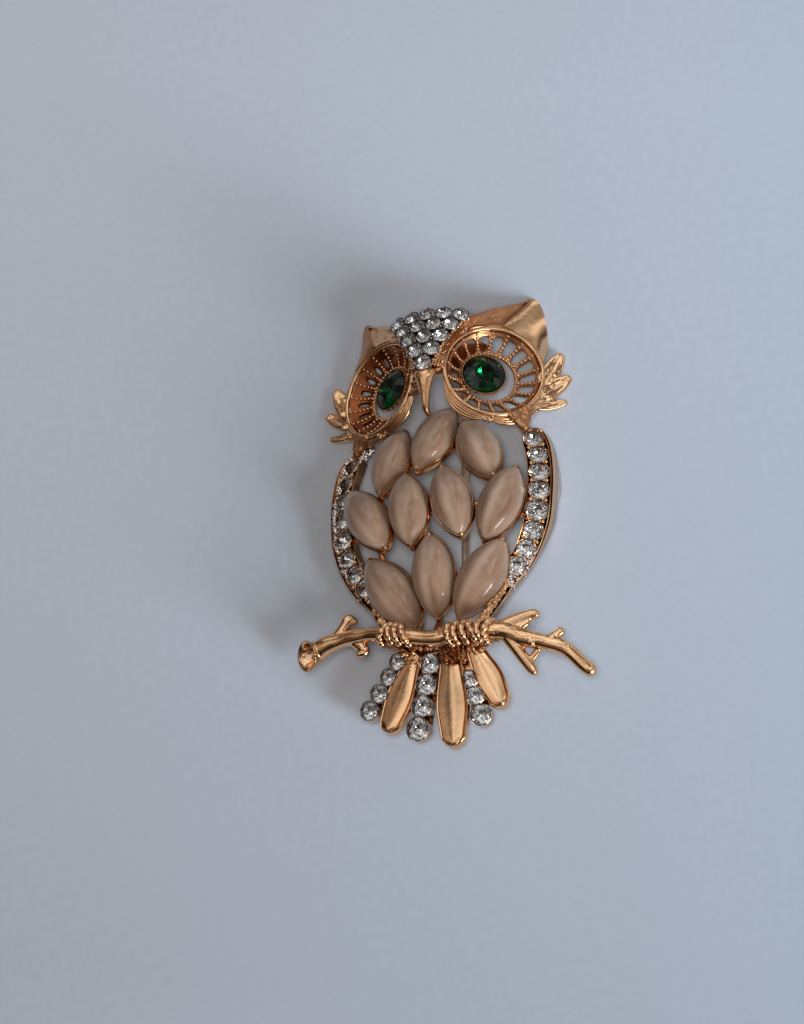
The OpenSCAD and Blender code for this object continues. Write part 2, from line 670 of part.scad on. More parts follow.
module beak() {
    root = [0, brow_y - brow_stone_d * 0.7, brow_z - 0.5];
    tip = root + [-0.3 * beak_w / 2, -beak_l * 0.9, -0.3 * beak_l];
    w = beak_w / 2;
    rod([root + [0, 1, -0.2], root, mix(root, tip, 0.35), mix(root, tip, 0.8), tip],
        w * [[1, 0.6], [1, 0.8], [0.72, 0.8], [0.48, 0.62], [0.36, 0.4]], n = 6);
    both_sides() hull() {
        ball(root, 0.5, 6);
        ball(eye_to_part(ring_point(182, 0.97, -0.05)), 0.35, 6);
        ball(eye_to_part(ring_point(200, 0.97, -0.05)), 0.3, 6);
    }
}

module owl_head()
    color(gold) difference() {
        union() {
            both_sides() {
                in_eye() {
                    eye_bowl();
                    translate([-eye_stone_in, 0, 0]) eye_cup();
                    eye_ties();
                    ear();
                    for (row = tuft_table)
                        tuft(row[0], row[1], row[2]);
                    for (row = ridge_table)
                        ridge(row);
                }
                brow_wall();
                // The leg that seats the head on the wing's top
                hull() {
                    ball(eye_to_part(ring_point(308, 0.97, 0.02)), 0.35, 6);
                    ball(eye_to_part(ring_point(292, 0.97, 0.02)), 0.35, 6);
                    translate([neck_x, neck_y, neck_z()]) cylinder(0.3, neck_r, neck_r, $fn = 8);
                }
            }
            forehead();
            beak();
            // The plate behind the forehead, over the pin's hinge
            hull()
                both_sides()
                    translate([0.62 * eye_x, hinge_y, hinge_z + seat_gap])
                        cylinder(0.9, 1.8, 1.8, $fn = 10);
        }
        forehead_spaces();
    }

module eye_stone(side)
    color(emerald) mirror([side < 0 ? 1 : 0, 0, 0]) at_eye_stone()
        translate([0, 0, eye_girdle]) cut_stone(eye_stone_d, 12);

module forehead_stones()
    color(crystal)
        for (row = [0 : brow_rows - 1], i = [0 : row])
            at_brow(row, i) cut_stone(brow_stone_d);

module wing_stone(side, i)
    color(crystal) mirror([side < 0 ? 1 : 0, 0, 0]) at_wing_stone(i)
        cut_stone(wing_stone_d * wing_sizes[i]);

module tail_stone(row, i)
    color(crystal) translate(tail_stone_at(row, i)) on_feather(row[0])
        cut_stone(tail_stone_d * row[1][i]);

// The pin back: hinge block, stem and catch in one plain piece
module pin_back()
    color(gold) union() {
        translate([pin_x - hinge_w / 2, hinge_y - hinge_w / 2, 0]) cube([hinge_w, hinge_w, hinge_z]);
        translate([pin_x, hinge_y, pin_z]) rotate([90, 0, 0]) cylinder(hinge_y - catch_y, d = pin_d);
        translate([pin_x - catch_w / 2, catch_y - catch_w / 2, 0]) cube([catch_w, catch_w, catch_z]);
    }

translate(-origin) {
    owl_body();
    owl_head();
    pin_back();
    forehead_stones();
    eye_stone(-1);  // eye_stone_left
    eye_stone(1);  // eye_stone_right
    for (i = [0 : len(cab_table) - 1])
        cabochon(i);
    for (side = [0, 1], i = wing_stones)
        wing_stone(2 * side - 1, i);
    for (row = tail_stones, i = [0 : len(row[1]) - 1])
        tail_stone(row, i);
}
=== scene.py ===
"""Looks of the owl brooch on its branch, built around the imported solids.

All shapes are made in millimetres in the part's own drawing frame, where the middle line of the
owl is x = 0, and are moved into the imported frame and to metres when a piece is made.
"""
from __future__ import annotations

import logging
import math
from dataclasses import dataclass, field
from enum import Enum
from typing import Any, Callable, Iterable, Sequence

import bmesh
import bpy
import numpy as np
from mathutils import Matrix, Vector, noise

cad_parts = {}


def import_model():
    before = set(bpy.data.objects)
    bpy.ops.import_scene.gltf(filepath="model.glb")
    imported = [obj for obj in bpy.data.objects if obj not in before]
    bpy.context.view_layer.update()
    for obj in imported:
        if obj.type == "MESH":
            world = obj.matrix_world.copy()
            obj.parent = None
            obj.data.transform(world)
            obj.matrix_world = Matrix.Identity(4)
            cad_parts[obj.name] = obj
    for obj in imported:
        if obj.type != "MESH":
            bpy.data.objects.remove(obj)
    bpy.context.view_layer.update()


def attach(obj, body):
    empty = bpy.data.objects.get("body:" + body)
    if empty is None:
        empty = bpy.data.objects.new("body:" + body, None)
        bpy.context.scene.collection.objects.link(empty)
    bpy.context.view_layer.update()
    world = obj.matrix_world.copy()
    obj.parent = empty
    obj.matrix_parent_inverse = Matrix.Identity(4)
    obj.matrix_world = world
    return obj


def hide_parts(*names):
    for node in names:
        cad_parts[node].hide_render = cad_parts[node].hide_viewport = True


Array = np.ndarray
Row = Sequence[float]
Faces = list[tuple[int, ...]]
Inputs = dict[str | int, Any]
LOG = logging.getLogger("owl_brooch")

ORIGIN = np.array([0.76175, -0.7705, 0.0])
MM = 0.001
TINY = 1e-9
BLACK, WHITE = (0.0, 0.0, 0.0), (1.0, 1.0, 1.0)


class Side(Enum):
    """The owl's side as the viewer sees it."""

    LEFT = -1
    RIGHT = 1


class Slot(Enum):
    """Material slots of the record."""

    GOLD = "gold"
    PIN = "pin_metal"
    CABOCHON = "cat_eye_glass"
    GREEN = "green_glass"
    CRYSTAL = "crystal"


class Mark(Enum):
    """What a face of a metal piece is.

    The mark for the inside of a setting paints shade there. The wing's band mark paints the paper's pale reflection on
    the band and a white glint on the bright nuggets. The copper mark paints shade in the deep hollows of the head.
    """

    POLISHED = 0
    ROUGH = 1
    DARK = 2
    PAINTED_REFLECTION = 3
    COPPER_SHADE = 4


class Crease(Enum):
    """The angle in degrees over which a piece's edges stay crisp."""

    FACET = 1.0
    NUGGET = 20.0
    BLADE = 32.0
    SETTING = 35.0
    PLAIN = 40.0
    FORM = 50.0
    CAST = 60.0


# ---------------- placing and shaping


class Place:
    """Placement matrices, in millimetres and degrees."""

    MIRROR = np.diag([-1.0, 1.0, 1.0, 1.0])

    @staticmethod
    def move(x: float, y: float, z: float) -> Array:
        """Returns a shift.

        Args:
            x, y, z: the shift along the axes.

        Returns:
            The matrix.
        """
        out = np.eye(4)
        out[:3, 3] = (x, y, z)
        return out

    @staticmethod
    def turn(x: float, y: float, z: float) -> Array:
        """Returns a turn about X, then Y, then Z.

        Args:
            x, y, z: the angles about the axes.

        Returns:
            The matrix.
        """
        out = np.eye(4)
        for angle, (i, j) in zip((x, y, z), ((1, 2), (2, 0), (0, 1))):
            c, s = Place.around(angle)
            step = np.eye(4)
            step[i, i], step[i, j], step[j, i], step[j, j] = c, -s, s, c
            out = step @ out
        return out

    @staticmethod
    def around(angle: float, radius: float = 1.0) -> tuple[float, float]:
        """Returns the point at an angle in degrees on a circle."""
        return radius * math.cos(math.radians(angle)), radius * math.sin(math.radians(angle))

    @staticmethod
    def apply(matrix: Array, points: Array) -> Array:
        """Returns the points moved by the matrix."""
        return np.asarray(points, float) @ matrix[:3, :3].T + matrix[:3, 3]


class Path:
    """Lines through a few chosen points."""

    @staticmethod
    def between(a: Array, b: Array, shares: Row) -> Array:
        """Returns the points at shares of the way from a to b."""
        return np.array([a + (b - a) * s for s in shares])

    @staticmethod
    def smooth(rows: Sequence[Row], steps: int) -> Array:
        """Follows rows by a Catmull-Rom line in all columns.

        Args:
            rows: the rows that the line passes through.
            steps: stations between two rows.

        Returns:
            One row for each station.
        """
        p = np.asarray(rows, float)
        p = np.vstack([2 * p[0] - p[1], p, 2 * p[-1] - p[-2]])
        out = []
        for i in range(1, len(p) - 2):
            for t in np.arange(steps) / steps:
                out.append(0.5 * (2 * p[i] + (p[i + 1] - p[i - 1]) * t
                                  + (2 * p[i - 1] - 5 * p[i] + 4 * p[i + 1] - p[i + 2]) * t * t
                                  + (3 * p[i] - p[i - 1] - 3 * p[i + 1] + p[i + 2]) * t ** 3))
        return np.array([*out, p[-2]])

    @staticmethod
    def blend(rows: Sequence[Row], shares: Array) -> Array:
        """Returns the columns of rows at shares, the first column being the share."""
        fine = Path.smooth(rows, 12)
        return np.stack([np.interp(shares, fine[:, 0], column) for column in fine.T[1:]], -1)

    @staticmethod
    def headings(path: Array) -> Array:
        """Returns the direction of a path at each of its points."""
        way = np.gradient(np.asarray(path, float), axis=0)
        return way / np.maximum(np.linalg.norm(way, axis=1, keepdims=True), TINY)


@dataclass
class Shape:
    """Points in millimetres and faces, each with a mark, and a local place for each point."""

    points: list[Array] = field(default_factory=list)
    faces: Faces = field(default_factory=list)
    marks: list[int] = field(default_factory=list)
    local: list[Array] = field(default_factory=list)
    count: int = 0

    def add(self, points: Array, faces: Iterable[Sequence[int]], mark: Mark | int = Mark.POLISHED,
            local: Array | None = None) -> Shape:
        """Adds points and faces.

        Args:
            points: the new points.
            faces: faces that number the new points from 0.
            mark: the mark of all the new faces.
            local: each point's place in its own stone or piece.

        Returns:
            This shape.
        """
        points = np.asarray(points, float)
        number = mark.value if isinstance(mark, Mark) else mark
        self.faces += [tuple(self.count + i for i in face) for face in faces]
        self.marks += [number] * (len(self.faces) - len(self.marks))
        self.points.append(points)
        self.local.append(points if local is None else np.asarray(local, float))
        self.count += len(points)
        return self

    def join(self, other: Shape, matrix: Array | None = None) -> Shape:
        """Adds another shape, moved by matrix; its local places stay as they were.

        Args:
            other: the shape to add.
            matrix: where it goes.

        Returns:
            This shape.
        """
        if not other.count:
            return self
        points = np.vstack(other.points)
        flip = matrix is not None and np.linalg.det(matrix[:3, :3]) < 0
        self.faces += [tuple(self.count + i for i in (f[::-1] if flip else f)) for f in other.faces]
        self.marks += other.marks
        self.points.append(points if matrix is None else Place.apply(matrix, points))
        self.local.append(np.vstack(other.local))
        self.count += len(points)
        return self

    def moved(self, matrix: Array) -> Shape:
        """Returns a copy that is moved by matrix."""
        return Shape().join(self, matrix)

    def mesh(self, name: str) -> bpy.types.Mesh:
        """Returns a Blender mesh in millimetres, its faces turned outwards.

        Args:
            name: the mesh's name.

        Returns:
            The mesh.
        """
        mesh = bpy.data.meshes.new(name)
        mesh.from_pydata(np.vstack(self.points).tolist(), [], self.faces)
        mesh.polygons.foreach_set("material_index", np.array(self.marks, np.int32))
        place = mesh.attributes.new("local", "FLOAT_VECTOR", "POINT")
        place.data.foreach_set("vector", np.vstack(self.local).astype(np.float32).ravel())
        work = bmesh.new()
        work.from_mesh(mesh)
        bmesh.ops.remove_doubles(work, verts=work.verts, dist=1e-4)
        bmesh.ops.dissolve_degenerate(work, edges=work.edges, dist=1e-4)
        bmesh.ops.recalc_face_normals(work, faces=work.faces)
        work.to_mesh(mesh)
        work.free()
        return mesh

    def fused(self, voxel: float, passes: int, rough: float = 0.0, scale: float = 2.0,
              mark: Mark | None = None) -> Shape:
        """Casts all that the shape holds into one skin with soft fillets.

        Args:
            voxel: grain of the skin.
            passes: smoothing passes.
            rough: how far the surface is pushed in and out.
            scale: how fine that roughness is.
            mark: the mark of its faces, or None for the mark that most faces have.

        Returns:
            The fused shape.
        """
        work = bpy.data.objects.new("cast", self.mesh("cast"))
        bpy.context.scene.collection.objects.link(work)
        remesh = work.modifiers.new("skin", "REMESH")
        remesh.mode, remesh.voxel_size = "VOXEL", voxel
        smooth = work.modifiers.new("soft", "SMOOTH")
        smooth.factor, smooth.iterations = 0.5, passes
        graph = bpy.context.evaluated_depsgraph_get()
        made = work.evaluated_get(graph).to_mesh()
        read = {name: np.empty(len(made.vertices) * 3, np.float32) for name in ("co", "normal")}
        for name, values in read.items():
            made.vertices.foreach_get(name, values)
        points, normals = read["co"].reshape(-1, 3).astype(float), read["normal"].reshape(-1, 3)
        faces = [tuple(p.vertices) for p in made.polygons]
        work.evaluated_get(graph).to_mesh_clear()
        bpy.data.objects.remove(work)
        if rough:
            points = points + normals * (rough * Forms.grain(points, scale))[:, None]
        return Shape().add(points, faces, mark or max(set(self.marks), key=self.marks.count))


class Forms:
    """The few forms that every piece is made from."""

    @staticmethod
    def grain(points: Array, scale: float, seed: float = 0.0) -> Array:
        """Returns a smooth noise value for each point, about -1 to 1."""
        shift = Vector((seed, 2 * seed, 3 * seed))
        return np.array([noise.noise(Vector(p) * scale + shift) for p in np.asarray(points, float)])

    @staticmethod
    def skin(rings: Sequence[Array], mark: Mark = Mark.POLISHED, loop: bool = False,
             local: Sequence[Array] | None = None) -> Shape:
        """Covers rings that have the same number of points.

        Args:
            rings: the rings, one after the other.
            mark: the mark of the faces.
            loop: whether the last ring meets the first.
            local: local places, as rings.

        Returns:
            The closed shape.
        """
        n, m = len(rings[0]), len(rings)
        faces: Faces = []
        for i in range(m if loop else m - 1):
            a, b = i * n, ((i + 1) % m) * n
            faces += [(a + j, a + (j + 1) % n, b + (j + 1) % n, b + j) for j in range(n)]
        if not loop:
            faces += [tuple(range(n - 1, -1, -1)), tuple(range((m - 1) * n, m * n))]
        return Shape().add(np.vstack(rings), faces, mark, None if local is None else np.vstack(local))

    @staticmethod
    def tube(path: Array, sizes: Array, up: Row = (0, 0, 1), sides: int = 14,
             mark: Mark = Mark.POLISHED) -> Shape:
        """Makes an oval rod along a path, with domed ends.

        Args:
            path: its points.
            sizes: half width and half height at each point.
            up: the direction of the half height.
            sides: points round it.
            mark: the mark of its faces.

        Returns:
            The rod.
        """
        path, sizes = np.asarray(path, float), np.asarray(sizes, float)
        reach, dome = 0.9, ((1.0, 0.12), (0.86, 0.5), (0.5, 0.86))
        way = Path.headings(path)
        head = [path[0] - way[0] * sizes[0].mean() * reach * out for out, _ in dome]
        tail = [path[-1] + way[-1] * sizes[-1].mean() * reach * out for out, _ in dome[::-1]]
        path = np.vstack([head, path, tail])
        sizes = np.vstack([[sizes[0] * k for _, k in dome], sizes, [sizes[-1] * k for _, k in dome[::-1]]])
        turn = np.arange(sides) * 2 * math.pi / sides
        rings = []
        for p, d, (a, b) in zip(path, Path.headings(path), sizes):
            s = np.cross(d, up)
            s /= max(np.linalg.norm(s), TINY)
            rings.append(p + np.outer(a * np.cos(turn), s) + np.outer(b * np.sin(turn), np.cross(s, d)))
        return Forms.skin(rings, mark)

    @staticmethod
    def ball(centre: Row, radius: float, sides: int = 8, mark: Mark = Mark.POLISHED) -> Shape:
        """Returns a small bead.

        Args:
            centre: its middle.
            radius: its radius.
            sides: points round it.
            mark: the mark of its faces.

        Returns:
            The bead.
        """
        rows = max(3, sides // 2)
        points = [(0.0, 0.0, -1.0)]
        for i in range(1, rows):
            a = math.pi * (i / rows - 0.5)
            points += [(math.cos(a) * math.cos(2 * math.pi * k / sides),
                        math.cos(a) * math.sin(2 * math.pi * k / sides), math.sin(a)) for k in range(sides)]
        points.append((0.0, 0.0, 1.0))
        last = len(points) - 1
        faces: Faces = []
        for k in range(sides):
            j = (k + 1) % sides
            faces.append((0, 1 + j, 1 + k))
            for a in range(1, 1 + (rows - 2) * sides, sides):
                faces.append((a + k, a + j, a + sides + j, a + sides + k))
            faces.append((last - sides + k, last - sides + j, last))
        return Shape().add(np.array(points) * radius + np.asarray(centre, float), faces, mark)

    @staticmethod
    def turned(profile: Sequence[Row], sides: int, marks: Sequence[Mark] | None = None,
               wave: Callable[[Array], Array] | None = None) -> Shape:
        """Turns a closed profile of radius and height about Z.

        Args:
            profile: the profile's points.
            sides: steps round the axis.
            marks: one mark for each side of the profile.
            wave: scales the radii by the angle.

        Returns:
            The ring.
        """
        turn = np.arange(sides) * 2 * math.pi / sides
        swell = np.ones(sides) if wave is None else wave(turn)
        rings = [[(r * w * math.cos(a), r * w * math.sin(a), z) for r, z in profile] for a, w in zip(turn, swell)]
        shape = Forms.skin(rings, loop=True)
        if marks is not None:
            shape.marks = [mark.value for mark in marks] * sides
        return shape

    @staticmethod
    def sheet(grid: Array, thick: float, mark: Mark = Mark.POLISHED) -> Shape:
        """Gives a grid of points a thickness and a rounded edge.

        Args:
            grid: points, rows by columns by three.
            thick: the sheet's thickness.
            mark: the mark of its faces.

        Returns:
            The closed sheet.
        """
        round_edge = 0.35
        normal = np.cross(np.gradient(grid, axis=1), np.gradient(grid, axis=0))
        normal /= np.maximum(np.linalg.norm(normal, axis=2, keepdims=True), TINY)
        rows, cols = grid.shape[:2]
        top, low = grid + normal * thick / 2, grid - normal * thick / 2
        edge = ([(0, j) for j in range(cols)] + [(i, cols - 1) for i in range(1, rows)]
                + [(rows - 1, j) for j in range(cols - 2, -1, -1)] + [(i, 0) for i in range(rows - 2, 0, -1)])
        middle = grid.mean(axis=(0, 1))
        rim = []
        for at in edge:
            outward = grid[at] - middle
            outward -= normal[at] * float(outward @ normal[at])
            rim.append(grid[at] + outward / max(np.linalg.norm(outward), TINY) * thick * round_edge)
        points = np.vstack([top.reshape(-1, 3), low.reshape(-1, 3), rim])
        size = rows * cols
        faces: Faces = []
        for a in (i * cols + j for i in range(rows - 1) for j in range(cols - 1)):
            b = size + a
            faces += [(a, a + 1, a + cols + 1, a + cols), (b, b + cols, b + cols + 1, b + 1)]
        n = len(edge)
        for k in range(n):
            a, b = (i * cols + j for i, j in (edge[k], edge[(k + 1) % n]))
            c, d = 2 * size + k, 2 * size + (k + 1) % n
            faces += [(a, b, d, c), (c, d, size + b, size + a)]
        return Shape().add(points, faces, mark)


# ---------------- finishes


class Tree:
    """The node tree of a material or of the world."""

    def __init__(self, owner: bpy.types.Material | bpy.types.World) -> None:
        """Opens the owner's tree."""
        owner.use_nodes = True
        self.nodes, self.links = owner.node_tree.nodes, owner.node_tree.links

    def feed(self, node: bpy.types.Node, inputs: Inputs) -> None:
        """Links a node's inputs to the sockets given for them, and sets the others to constants.

        Args:
            node: the node.
            inputs: sockets and constants by the names of its inputs.
        """
        for name, value in inputs.items():
            if isinstance(value, bpy.types.NodeSocket):
                self.links.new(value, node.inputs[name])
            else:
                node.inputs[name].default_value = value

    def add(self, kind: str, inputs: Inputs | None = None, **settings: Any) -> bpy.types.NodeOutputs:
        """Adds a node.

        Args:
            kind: its kind, without the word ShaderNode.
            inputs: sockets and constants for its inputs.
            settings: its own settings, such as its operation.

        Returns:
            Its outputs.
        """
        node = self.nodes.new(f"ShaderNode{kind}")
        for name, value in settings.items():
            setattr(node, name, value)
        self.feed(node, inputs or {})
        return node.outputs

    def noise(self, place: bpy.types.NodeSocket, scale: float, detail: float = 2.0) -> bpy.types.NodeSocket:
        """Adds a noise and returns its value."""
        return self.add("TexNoise", {"Vector": place, "Scale": scale, "Detail": detail})["Fac"]

    def spread(self, value: bpy.types.NodeSocket, reach: float) -> bpy.types.NodeSocket:
        """Brings a value from -reach to reach to 0 to 1."""
        return self.add("MapRange", {"Value": value, "From Min": -reach, "From Max": reach})["Result"]

    def along(self, place: bpy.types.NodeSocket, way: Row) -> bpy.types.NodeSocket:
        """Returns how far a place lies along a direction."""
        return self.add("VectorMath", {0: place, 1: tuple(way)}, operation="DOT_PRODUCT")["Value"]

    def ramp(self, value: bpy.types.NodeSocket, *stops: tuple[float, Row], soft: bool = False) -> bpy.types.NodeSocket:
        """Adds a colour ramp.

        Args:
            value: the socket that it colours.
            stops: its places and their colours.
            soft: whether the colours ease into each other.

        Returns:
            The colour.
        """
        node = self.nodes.new("ShaderNodeValToRGB")
        ramp = node.color_ramp
        while len(ramp.elements) < len(stops):
            ramp.elements.new(0.5)
        for element, (place, colour) in zip(ramp.elements, stops):
            element.position, element.color = place, (*colour, 1.0)
        if soft:
            ramp.interpolation = "EASE"
        self.links.new(value, node.inputs["Fac"])
        return node.outputs["Color"]

    def mix(self, share: Any, first: Any, second: Any, blend: str = "MIX") -> bpy.types.NodeSocket:
        """Adds a mix of two colours, each a socket or a constant of three numbers, and returns its colour."""
        colours = [c if isinstance(c, bpy.types.NodeSocket) else (*c, 1.0) for c in (first, second)]
        return self.add("MixRGB", {"Fac": share, "Color1": colours[0], "Color2": colours[1]}, blend_type=blend)["Color"]

    def bump(self, height: bpy.types.NodeSocket, strength: float, depth: float) -> bpy.types.NodeSocket:
        """Adds a bump whose depth is in millimetres and returns its normal."""
        return self.add("Bump", {"Strength": strength, "Distance": depth * MM, "Height": height})["Normal"]


@dataclass(frozen=True)
class Finish:
    """A finish with a name and a node tree of its own."""

    name: str

    def material(self) -> bpy.types.Material:
        """Returns the material."""
        material = bpy.data.materials.new(self.name)
        tree = Tree(material)
        tree.feed(tree.nodes["Principled BSDF"], self.inputs(tree))
        return material

    def inputs(self, tree: Tree) -> Inputs:
        """Adds the finish's nodes and returns the shader's inputs."""
        raise NotImplementedError


@dataclass(frozen=True)
class PlatedGold(Finish):
    """Rose gold plating over a casting: bright on faces, with painted shade in the hollows, where ambient occlusion
    mixes in a copper brown.
    """

    bright: Row = (0.95, 0.58, 0.315)
    # deep: the painted shade colour that ambient occlusion mixes in
    deep: Row = (0.36, 0.125, 0.045)
    smooth: float = 0.1
    uneven: float = 0.1
    hollow: float = 0.6
    metallic: float = 1.0
    bump: float = 0.15
    bump_scale: float = 1400.0

    def inputs(self, tree: Tree) -> Inputs:
        """Adds the plating's nodes.

        Args:
            tree: the material's tree.

        Returns:
            The shader's inputs.
        """
        place = tree.add("TexCoord")["Object"]
        cloud = tree.noise(place, 420.0, 4.0)
        tone = tree.ramp(cloud, (0.3, [c * 0.9 for c in self.bright]), (0.7, self.bright))
        # painted shade: the colour turns to deep where ambient occlusion finds a crease or hollow within the hollow
        # reach
        open_sky = tree.add("AmbientOcclusion", {"Distance": self.hollow * MM}, samples=6)["AO"]
        depth = tree.ramp(open_sky, (0.25, WHITE), (0.8, BLACK))
        gloss = tree.add("MapRange", {"Value": cloud, "To Min": self.smooth, "To Max": self.smooth + self.uneven})
        pits = tree.noise(place, self.bump_scale, 3.0)
        return {"Base Color": tree.mix(depth, tone, self.deep), "Roughness": gloss["Result"],
                "Metallic": self.metallic, "Normal": tree.bump(pits, self.bump, 0.08)}


@dataclass(frozen=True)
class FibreGlass(Finish):
    """Milky fibre-optic glass with fine bands along each stone, a painted cat's-eye sheen along its middle and a
    painted pale edge light.
    """

    painted_reflection: Row = (0.33, 0.19, 0.112)
    warm: Row = (0.19, 0.09, 0.043)
    # eye: the colour of the painted cat's-eye sheen along the middle of each stone
    eye: Row = (0.56, 0.39, 0.28)
    # edge: the colour of the painted light at the stone's edges, where light shines through the thin glass
    edge: Row = (0.46, 0.355, 0.285)
    grain: Row = (0.75, 0.12, 0.6)
    half_width: float = 2.6

    def inputs(self, tree: Tree) -> Inputs:
        """Adds the fibres, each stone's painted sheen line and its painted edge light.

        Args:
            tree: the material's tree.

        Returns:
            The shader's inputs.
        """
        place = tree.add("Attribute", attribute_name="local")["Vector"]
        drawn = tree.add("VectorMath", {0: place, 1: self.grain}, operation="MULTIPLY")["Vector"]
        tone = tree.ramp(tree.noise(drawn, 1.0, 3.0), (0.3, self.warm), (0.7, self.painted_reflection))
        across = tree.spread(tree.add("SeparateXYZ", {"Vector": place})["X"], self.half_width)
        # painted sheen: a soft pale band along the middle of each stone, standing in for the cat's-eye reflection
        line = tree.ramp(across, (0.22, BLACK), (0.42, (0.5, 0.5, 0.5)), (0.58, (0.1, 0.1, 0.1)), (0.8, BLACK),
                         soft=True)
        # painted edge light: the colour pales where the surface turns away, standing in for light through the thin
        # edges
        rim = tree.add("LayerWeight", {"Blend": 0.32})["Facing"]
        return {"Base Color": tree.mix(rim, tree.mix(line, tone, self.eye), self.edge), "Roughness": 0.42,
                "Transmission Weight": 0.18, "Subsurface Weight": 0.5, "Subsurface Radius": (1.0, 0.72, 0.55),
                "Subsurface Scale": 1.1 * MM, "Coat Weight": 0.85, "Coat Roughness": 0.03, "Coat IOR": 1.5}


@dataclass(frozen=True)
class CutGlass(Finish):
    """Clear or coloured glass of a cut stone."""

    tint: Row = (0.985, 0.99, 1.0)
    bend: float = 1.58

    def inputs(self, tree: Tree) -> Inputs:
        """Adds a faint haze.

        Args:
            tree: the material's tree.

        Returns:
            The shader's inputs.
        """
        haze = tree.noise(tree.add("TexCoord")["Object"], 700.0)
        tone = tree.ramp(haze, (0.35, [c * 0.92 for c in self.tint]), (0.65, self.tint))
        return {"Base Color": tone, "Roughness": 0.0, "Transmission Weight": 1.0, "IOR": self.bend}


@dataclass(frozen=True)
class Foil(Finish):
    """The mirror foil on a stone's back facets."""

    colour: Row = (0.86, 0.845, 0.82)
    rough: float = 0.02

    def inputs(self, tree: Tree) -> Inputs:
        """Adds the foil's wear.

        Args:
            tree: the material's tree.

        Returns:
            The shader's inputs.
        """
        wear = tree.noise(tree.add("TexCoord")["Object"], 900.0)
        tone = tree.ramp(wear, (0.4, [c * 0.9 for c in self.colour]), (0.6, self.colour))
        return {"Base Color": tone, "Metallic": 1.0, "Roughness": self.rough}


@dataclass(frozen=True)
class Paper(Finish):
    """Pale blue-grey paper with a fine tooth and a painted light falloff: its tone is darker towards the bottom and
    warmer towards the left, along the listed directions.
    """

    light: Row = (0.545, 0.605, 0.69)
    dark: Row = (0.525, 0.585, 0.67)
    reach: float = 0.062
    painted_light_falloff: Sequence[tuple[Row, Row, Row]] = (((0.25, 1.0, 0.0), (0.79, 0.79, 0.79), (1.13, 1.13, 1.13)),
                                             ((1.0, 0.0, 0.0), (1.04, 0.995, 0.965), (0.945, 0.965, 0.985)))

    def inputs(self, tree: Tree) -> Inputs:
        """Adds the tooth and the painted light falloff.

        Args:
            tree: the material's tree.

        Returns:
            The shader's inputs.
        """
        place = tree.add("TexCoord")["Object"]
        tooth = tree.noise(place, 900.0, 6.0)
        colour = tree.ramp(tooth, (0.35, self.dark), (0.65, self.light))
        # painted light falloff: darker towards the bottom and warmer to the left, standing in for how the light falls
        # across the paper
        for way, low, high in self.painted_light_falloff:
            share = tree.spread(tree.along(place, way), self.reach)
            colour = tree.mix(1.0, colour, tree.ramp(share, (0.0, low), (1.0, high)), "MULTIPLY")
        return {"Base Color": colour, "Roughness": 0.85, "Specular IOR Level": 0.2,
                "Normal": tree.bump(tooth, 0.08, 0.1)}


class Palette:
    """Every finish of the brooch, made once: lists with one material for each mark."""

    def __init__(self) -> None:
        """Makes the materials."""
        deep_cast = {"uneven": 0.2, "hollow": 1.2, "bump": 0.4, "bump_scale": 1900.0}
        self.metal = self.made(
            PlatedGold("polished_rose_gold"),
            PlatedGold("cast_rose_gold", (0.92, 0.53, 0.27), smooth=0.16, uneven=0.16, bump=0.5, bump_scale=2600.0),
            # a near-black copy of the gold: painted shade for the insides of settings and the wing's channel
            PlatedGold("setting_painted_shade", (0.2, 0.17, 0.15), (0.05, 0.04, 0.035), 0.3),
            # a pale pinkish grey copy of the gold: the painted reflection of the paper on the wing's band
            PlatedGold("rose_gold_painted_reflection", (0.63, 0.46, 0.38), (0.40, 0.19, 0.11), 0.12),
            # a darker copper brown copy of the gold: painted shade for the hollows of the head, the legs and the knots
            PlatedGold("copper_painted_shade", (0.60, 0.29, 0.14), (0.24, 0.07, 0.028), 0.18, **deep_cast))
        # a still darker amber copy of the gold: painted shade for the left bowl and the mass under the claws
        self.amber_shade = self.metal[:4] + self.made(
            PlatedGold("amber_painted_shade", (0.28, 0.085, 0.03), (0.14, 0.033, 0.012), 0.2, **deep_cast))
        # a near-white copy of the gold for the small nuggets: a painted glint
        self.painted_glints = self.metal[:3] + self.made(
            PlatedGold("nuggets_painted_glint", (0.97, 0.86, 0.78), (0.5, 0.3, 0.19), 0.05, 0.05))
        # a duller gold with a very dark painted shade in its hollows, for the tail's collets
        self.dim_collets = self.made(
            PlatedGold("dim_collet_painted_shade", (0.68, 0.49, 0.36), (0.10, 0.07, 0.055), 0.16)) + self.metal[1:]
        self.grey = self.made(
            PlatedGold("grey_setting", (0.50, 0.46, 0.42), (0.09, 0.08, 0.075), 0.18)) + self.metal[1:]
        self.pin = self.made(PlatedGold("pin_metal", (0.88, 0.72, 0.55), smooth=0.25, metallic=0.75)) + self.metal[1:]
        self.cabochon = self.made(FibreGlass("fibre_glass"))
        self.crystal = self.made(CutGlass("crystal_glass"), Foil("crystal_foil"))
        self.green = self.made(CutGlass("green_glass", (0.007, 0.12, 0.05), 1.4),
                               Foil("green_foil", (0.14, 0.50, 0.30), 0.05))

    @staticmethod
    def made(*finishes: Finish) -> list[bpy.types.Material]:
        """Returns the materials of some finishes."""
        return [finish.material() for finish in finishes]


